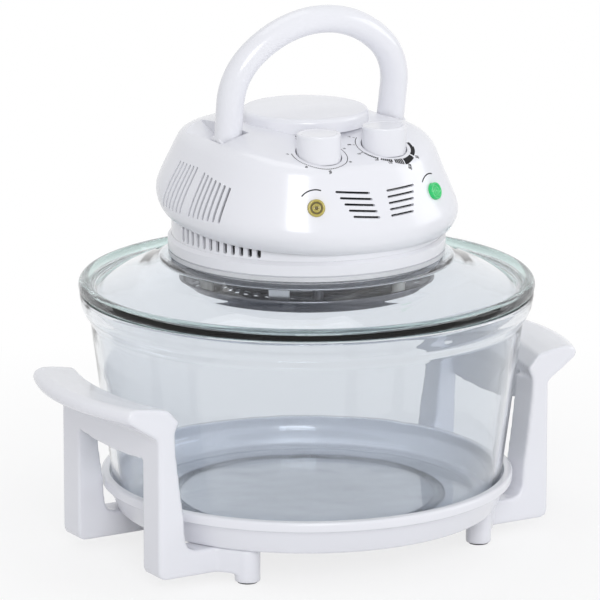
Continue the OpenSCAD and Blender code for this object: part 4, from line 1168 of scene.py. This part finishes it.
class OVEN_OT_lamps(bpy.types.Operator):
    """Makes the amber and the green signal lamp"""

    bl_idname = "oven.lamps"
    bl_label = "Signal lamps"

    mark_radii = (12.6 * MM, 13.5 * MM)
    mark_start, mark_angle, mark_steps = 138, 68, 20
    mark_from, mark_lift = 20 * MM, 0.06 * MM

    def execute(self, context):
        head, controls = context.scene.oven_head, context.scene.oven_controls
        radius = controls.lamp_radius / MM
        made = finishes(context)
        corners = [
            (0, -6, 0), (radius, -6, 0.3), (radius, 2.2, 1.1), (radius - 1.6, 2.2, 0.5),
            (radius - 2, 1.3, 0.4), (radius - 2.9, 1.2, 0.4), (radius - 3.2, 1.8, 0.4),
            (radius - 4, 1.8, 0.4), (radius - 4.3, 1.3, 0.3), (1.2, 1.3, 0.3), (0.9, 1.7, 0.3), (0, 1.8, 0),
        ]
        for side, name, lens in ((-1, "amber", [made.amber, made.shadow]), (1, "green", [made.green])):
            place = lamp_place(head, controls, side)
            bm = turn(rounded(corners, 4), 64)
            if name == "amber":
                self.darken(bm, radius)
            bmesh.ops.transform(bm, matrix=place, verts=bm.verts)
            hand_over(finish_mesh(name + "_lamp", bm, *lens), "lid", name + "_plastic", name + "_lens")
            self.mark(place, name + "_mark", made.ink)
        return {"FINISHED"}

    def darken(self, bm, radius):
        """Gives the lens's middle and its groove a dark colour as painted shade."""
        for face in bm.faces:
            middle = face.calc_center_median()
            out = Vector(middle[:2]).length / MM
            if middle.z > 0 and (out < 1.4 or radius - 3.1 < out < radius - 1.9):
                face.material_index = 1

    def mark(self, place, name, ink):
        """Prints a short arc on the housing over a lamp."""
        bm = bmesh.new()
        start = radians(self.mark_start)
        points = [r * Vector((cos(start), sin(start), 0)) for r in self.mark_radii]
        sweep(bm, points, Vector(), self.mark_angle, self.mark_steps)
        along = place.to_3x3() @ UP
        for vert in bm.verts:
            hit = MADE["panel"].ray_cast(place @ vert.co + along * self.mark_from, -along)[0]
            vert.co = hit + along * self.mark_lift if hit else place @ vert.co
        finish_print(name, bm, along, ink)


class OVEN_OT_solids(bpy.types.Operator):
    """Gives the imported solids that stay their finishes"""

    bl_idname = "oven.solids"
    bl_label = "Finishes of the solids"

    def execute(self, context):
        made = finishes(context)
        by_slot = {
            "white_plastic": made.white, "steel_sheet": made.steel, "polished_steel": made.mirror,
            "dark_steel": made.dark, "black_rubber": made.rubber, "ceramic": made.ceramic,
            "clear_glass": made.glass, "brass": made.brass, "black_plastic": made.black_and_painted_shade,
            "aluminium_cast": made.cast, "copper": made.copper, "amber_plastic": made.amber,
            "green_plastic": made.green, "lamp_glass": made.bulb, "pale_silicone": made.gasket,
        }
        for part in frame["record"]["subparts"]:
            for place in frame["nodes"][part["node"]].material_slots:
                place.material = by_slot[part["material_slot"]]
        return {"FINISHED"}


class OVEN_OT_guard(bpy.types.Operator):
    """Makes the polished guard dish and the fittings beside it"""

    bl_idname = "oven.guard"
    bl_label = "Guard and heater"

    def execute(self, context):
        made = finishes(context)
        for node, name, finish, slot in (
            ("guard_dish", "guard_bowl", made.mirror, "polished_steel"),
            ("reflector_plate", "reflector", made.plate_in_painted_shade, "steel_sheet"),
            ("quartz_tube", "ring_lamp", made.quartz, "lamp_glass"),
            ("guard_posts", "ceramic_standoffs", made.ceramic, "ceramic"),
        ):
            hand_over(finish_mesh(name, copy_of(node), finish, sharp=30), "lid", slot, node)
        return {"FINISHED"}


class OVEN_OT_stage(bpy.types.Operator):
    """Makes the floor, the lights and the camera"""

    bl_idname = "oven.stage"
    bl_label = "Studio"

    floor_gap = 0.2 * MM

    def floor(self):
        """A plain pale floor that the camera, gloss and glass see as white."""
        bm = bmesh.new()
        bmesh.ops.create_grid(bm, x_segments=1, y_segments=1, size=9)
        bmesh.ops.translate(bm, vec=-UP * self.floor_gap, verts=bm.verts)
        shader = material("studio_floor")
        x, y, z = shader.axes()
        ring = {"From Min": 0.2, "From Max": 0.6, "To Min": 0.78, "To Max": 1.0}
        away = shader.node("ShaderNodeMapRange", {}, {"Value": (x * x + y * y) ** 0.5, **ring})
        pale = shader.node("ShaderNodeBsdfDiffuse", {}, {"Color": (0.88, 0.88, 0.89, 1)})
        white = shader.node("ShaderNodeEmission", {}, {"Color": (1, 1, 1, 1), "Strength": 1.0})
        put_mesh("studio_floor", bm, shader.blend(shader.backdrop() * away, pale, white))

    def world(self, context, studio):
        """An even room, white where the camera, gloss and glass look."""
        context.scene.world = bpy.data.worlds.new("studio_room")
        shader = Shader(context.scene.world)
        room, white = (
            shader.node("ShaderNodeBackground", {}, {"Color": tint, "Strength": strength})
            for tint, strength in (((0.97, 0.98, 1, 1), studio.world), ((1, 1, 1, 1), 1.0))
        )
        shader.blend(shader.backdrop(), room, white, "ShaderNodeOutputWorld")

    def lamp(self, name, place, target, size, power):
        """A soft area light."""
        data = bpy.data.lights.new(name, "AREA")
        data.shape = "RECTANGLE"
        data.size, data.size_y = size
        data.energy = power
        self.aim(put(name, data), Vector(place), target)

    def aim(self, obj, place, target):
        """Puts a light or the camera at a place, looking at the target."""
        obj.location = place
        obj.rotation_euler = (target - place).to_track_quat("-Z", "Y").to_euler()

    def camera(self, studio, target):
        """The camera that the photograph was taken with, as solved from it."""
        data = bpy.data.cameras.new("camera")
        data.sensor_width = 36
        data.lens = studio.lens
        data.shift_x, data.shift_y = studio.right, studio.up
        data.clip_end = 60
        flat = cos(studio.elevation)
        away = Vector((sin(studio.azimuth) * flat, -cos(studio.azimuth) * flat, sin(studio.elevation)))
        camera = put("camera", data)
        self.aim(camera, target + away * studio.distance, target)
        return camera

    def execute(self, context):
        studio = context.scene.oven_studio
        target = UP * studio.aim
        self.floor()
        self.world(context, studio)
        self.lamp("key_light", (-1.1, -2.4, 1.35), target, (1.1, 1.4), studio.key)
        self.lamp("fill_light", (2.4, -1.2, 0.9), target, (1.4, 1.2), studio.fill)
        self.lamp("top_light", (0, 0.5, 2.4), target, (1.6, 1.6), studio.top)
        context.scene.camera = self.camera(studio, target)
        context.scene.view_settings.view_transform = "Standard"
        return {"FINISHED"}


# ---- places shared by several pieces ----


def leg_top(handle):
    """Distance from the middle and height above the pivot of a leg's upper end."""
    reach = handle.crown - handle.shoulder
    rise = handle.crown_top - handle.crown + reach * cos(handle.crown_angle)
    out = reach * sin(handle.crown_angle) + handle.shoulder * cos(handle.lean)
    return out, rise - handle.shoulder * sin(handle.lean)


def hub_distance(handle):
    """Distance of the handle's hubs from the middle."""
    out, up = leg_top(handle)
    return out - up * tan(handle.lean)


def handle_pocket(handle):
    """Inner and outer side of the pocket that a handle leg folds into."""
    hub = hub_distance(handle)
    clear = handle.tube + 0.4 * MM
    return hub - clear, max(hub, leg_top(handle)[0]) + clear


def across(handle, x):
    """A place on the line through the handle's pivots, with its local Z along that line."""
    return Matrix.Translation((x, handle.pivot_back, handle.pivot_height)) @ Matrix.Rotation(pi / 2, 4, "Y")


def knob_axis(controls, side):
    """Where a knob's axis meets the table; side is -1 at the left and 1 at the right."""
    return Vector((side * controls.spread, -controls.forward, 0))


def lamp_place(head, controls, side):
    """Where a signal lamp sits, its face along local Z."""
    height = (controls.lamp_height - head.base + 0.85 * head.tilt) / MM
    above = next(i for i, row in enumerate(HEAD_ROWS) if row[1] > height)
    lower, upper = HEAD_ROWS[above - 1], HEAD_ROWS[above]
    share = (height - lower[1]) / (upper[1] - lower[1])
    half = head.half_width - (lower[0] + share * (upper[0] - lower[0])) * MM
    power = head.squareness
    x = side * controls.lamp_spread + controls.lamp_shift
    y = -((half**power - abs(x) ** power) ** (1 / power))
    yaw = side * atan(abs(x / y) ** (power - 1))
    place = Matrix.Translation((x, y, controls.lamp_height))
    return place @ Matrix.Rotation(yaw, 4, "Z") @ Matrix.Rotation(pi / 2 - controls.lamp_tilt, 4, "X")


# ---- panel and registration ----


class OVEN_PT_panel(bpy.types.Panel):
    """Lists the oven's settings and operators"""

    bl_label = "Halogen Oven"
    bl_idname = "OVEN_PT_panel"
    bl_space_type = "VIEW_3D"
    bl_region_type = "UI"
    bl_category = "Oven"

    def draw(self, context):
        for name, group in GROUPS.items():
            box_ui = self.layout.box()
            box_ui.label(text=group.__name__)
            for key in group.__annotations__:
                box_ui.prop(getattr(context.scene, name), key)
        for operator in OPERATORS:
            self.layout.operator(operator.bl_idname)


OPERATORS = [
    OVEN_OT_solids, OVEN_OT_tray, OVEN_OT_brackets, OVEN_OT_bowl, OVEN_OT_lid, OVEN_OT_base_ring,
    OVEN_OT_housing, OVEN_OT_handle, OVEN_OT_knobs, OVEN_OT_dials, OVEN_OT_lamps, OVEN_OT_guard,
    OVEN_OT_stage,
]
CLASSES = [*GROUPS.values(), *OPERATORS, OVEN_PT_panel]


def register():
    """Registers the settings, the operators and the panel."""
    for item in CLASSES:
        bpy.utils.register_class(item)
    for name, group in GROUPS.items():
        setattr(bpy.types.Scene, name, PointerProperty(type=group))


def unregister():
    """Takes the settings, the operators and the panel away."""
    for name in GROUPS:
        delattr(bpy.types.Scene, name)
    for item in reversed(CLASSES):
        bpy.utils.unregister_class(item)


def main():
    """Makes every piece and the stage."""
    register()
    for operator in OPERATORS:
        group, name = operator.bl_idname.split(".")
        getattr(getattr(bpy.ops, group), name)()


if __name__ == "__main__":
    main()
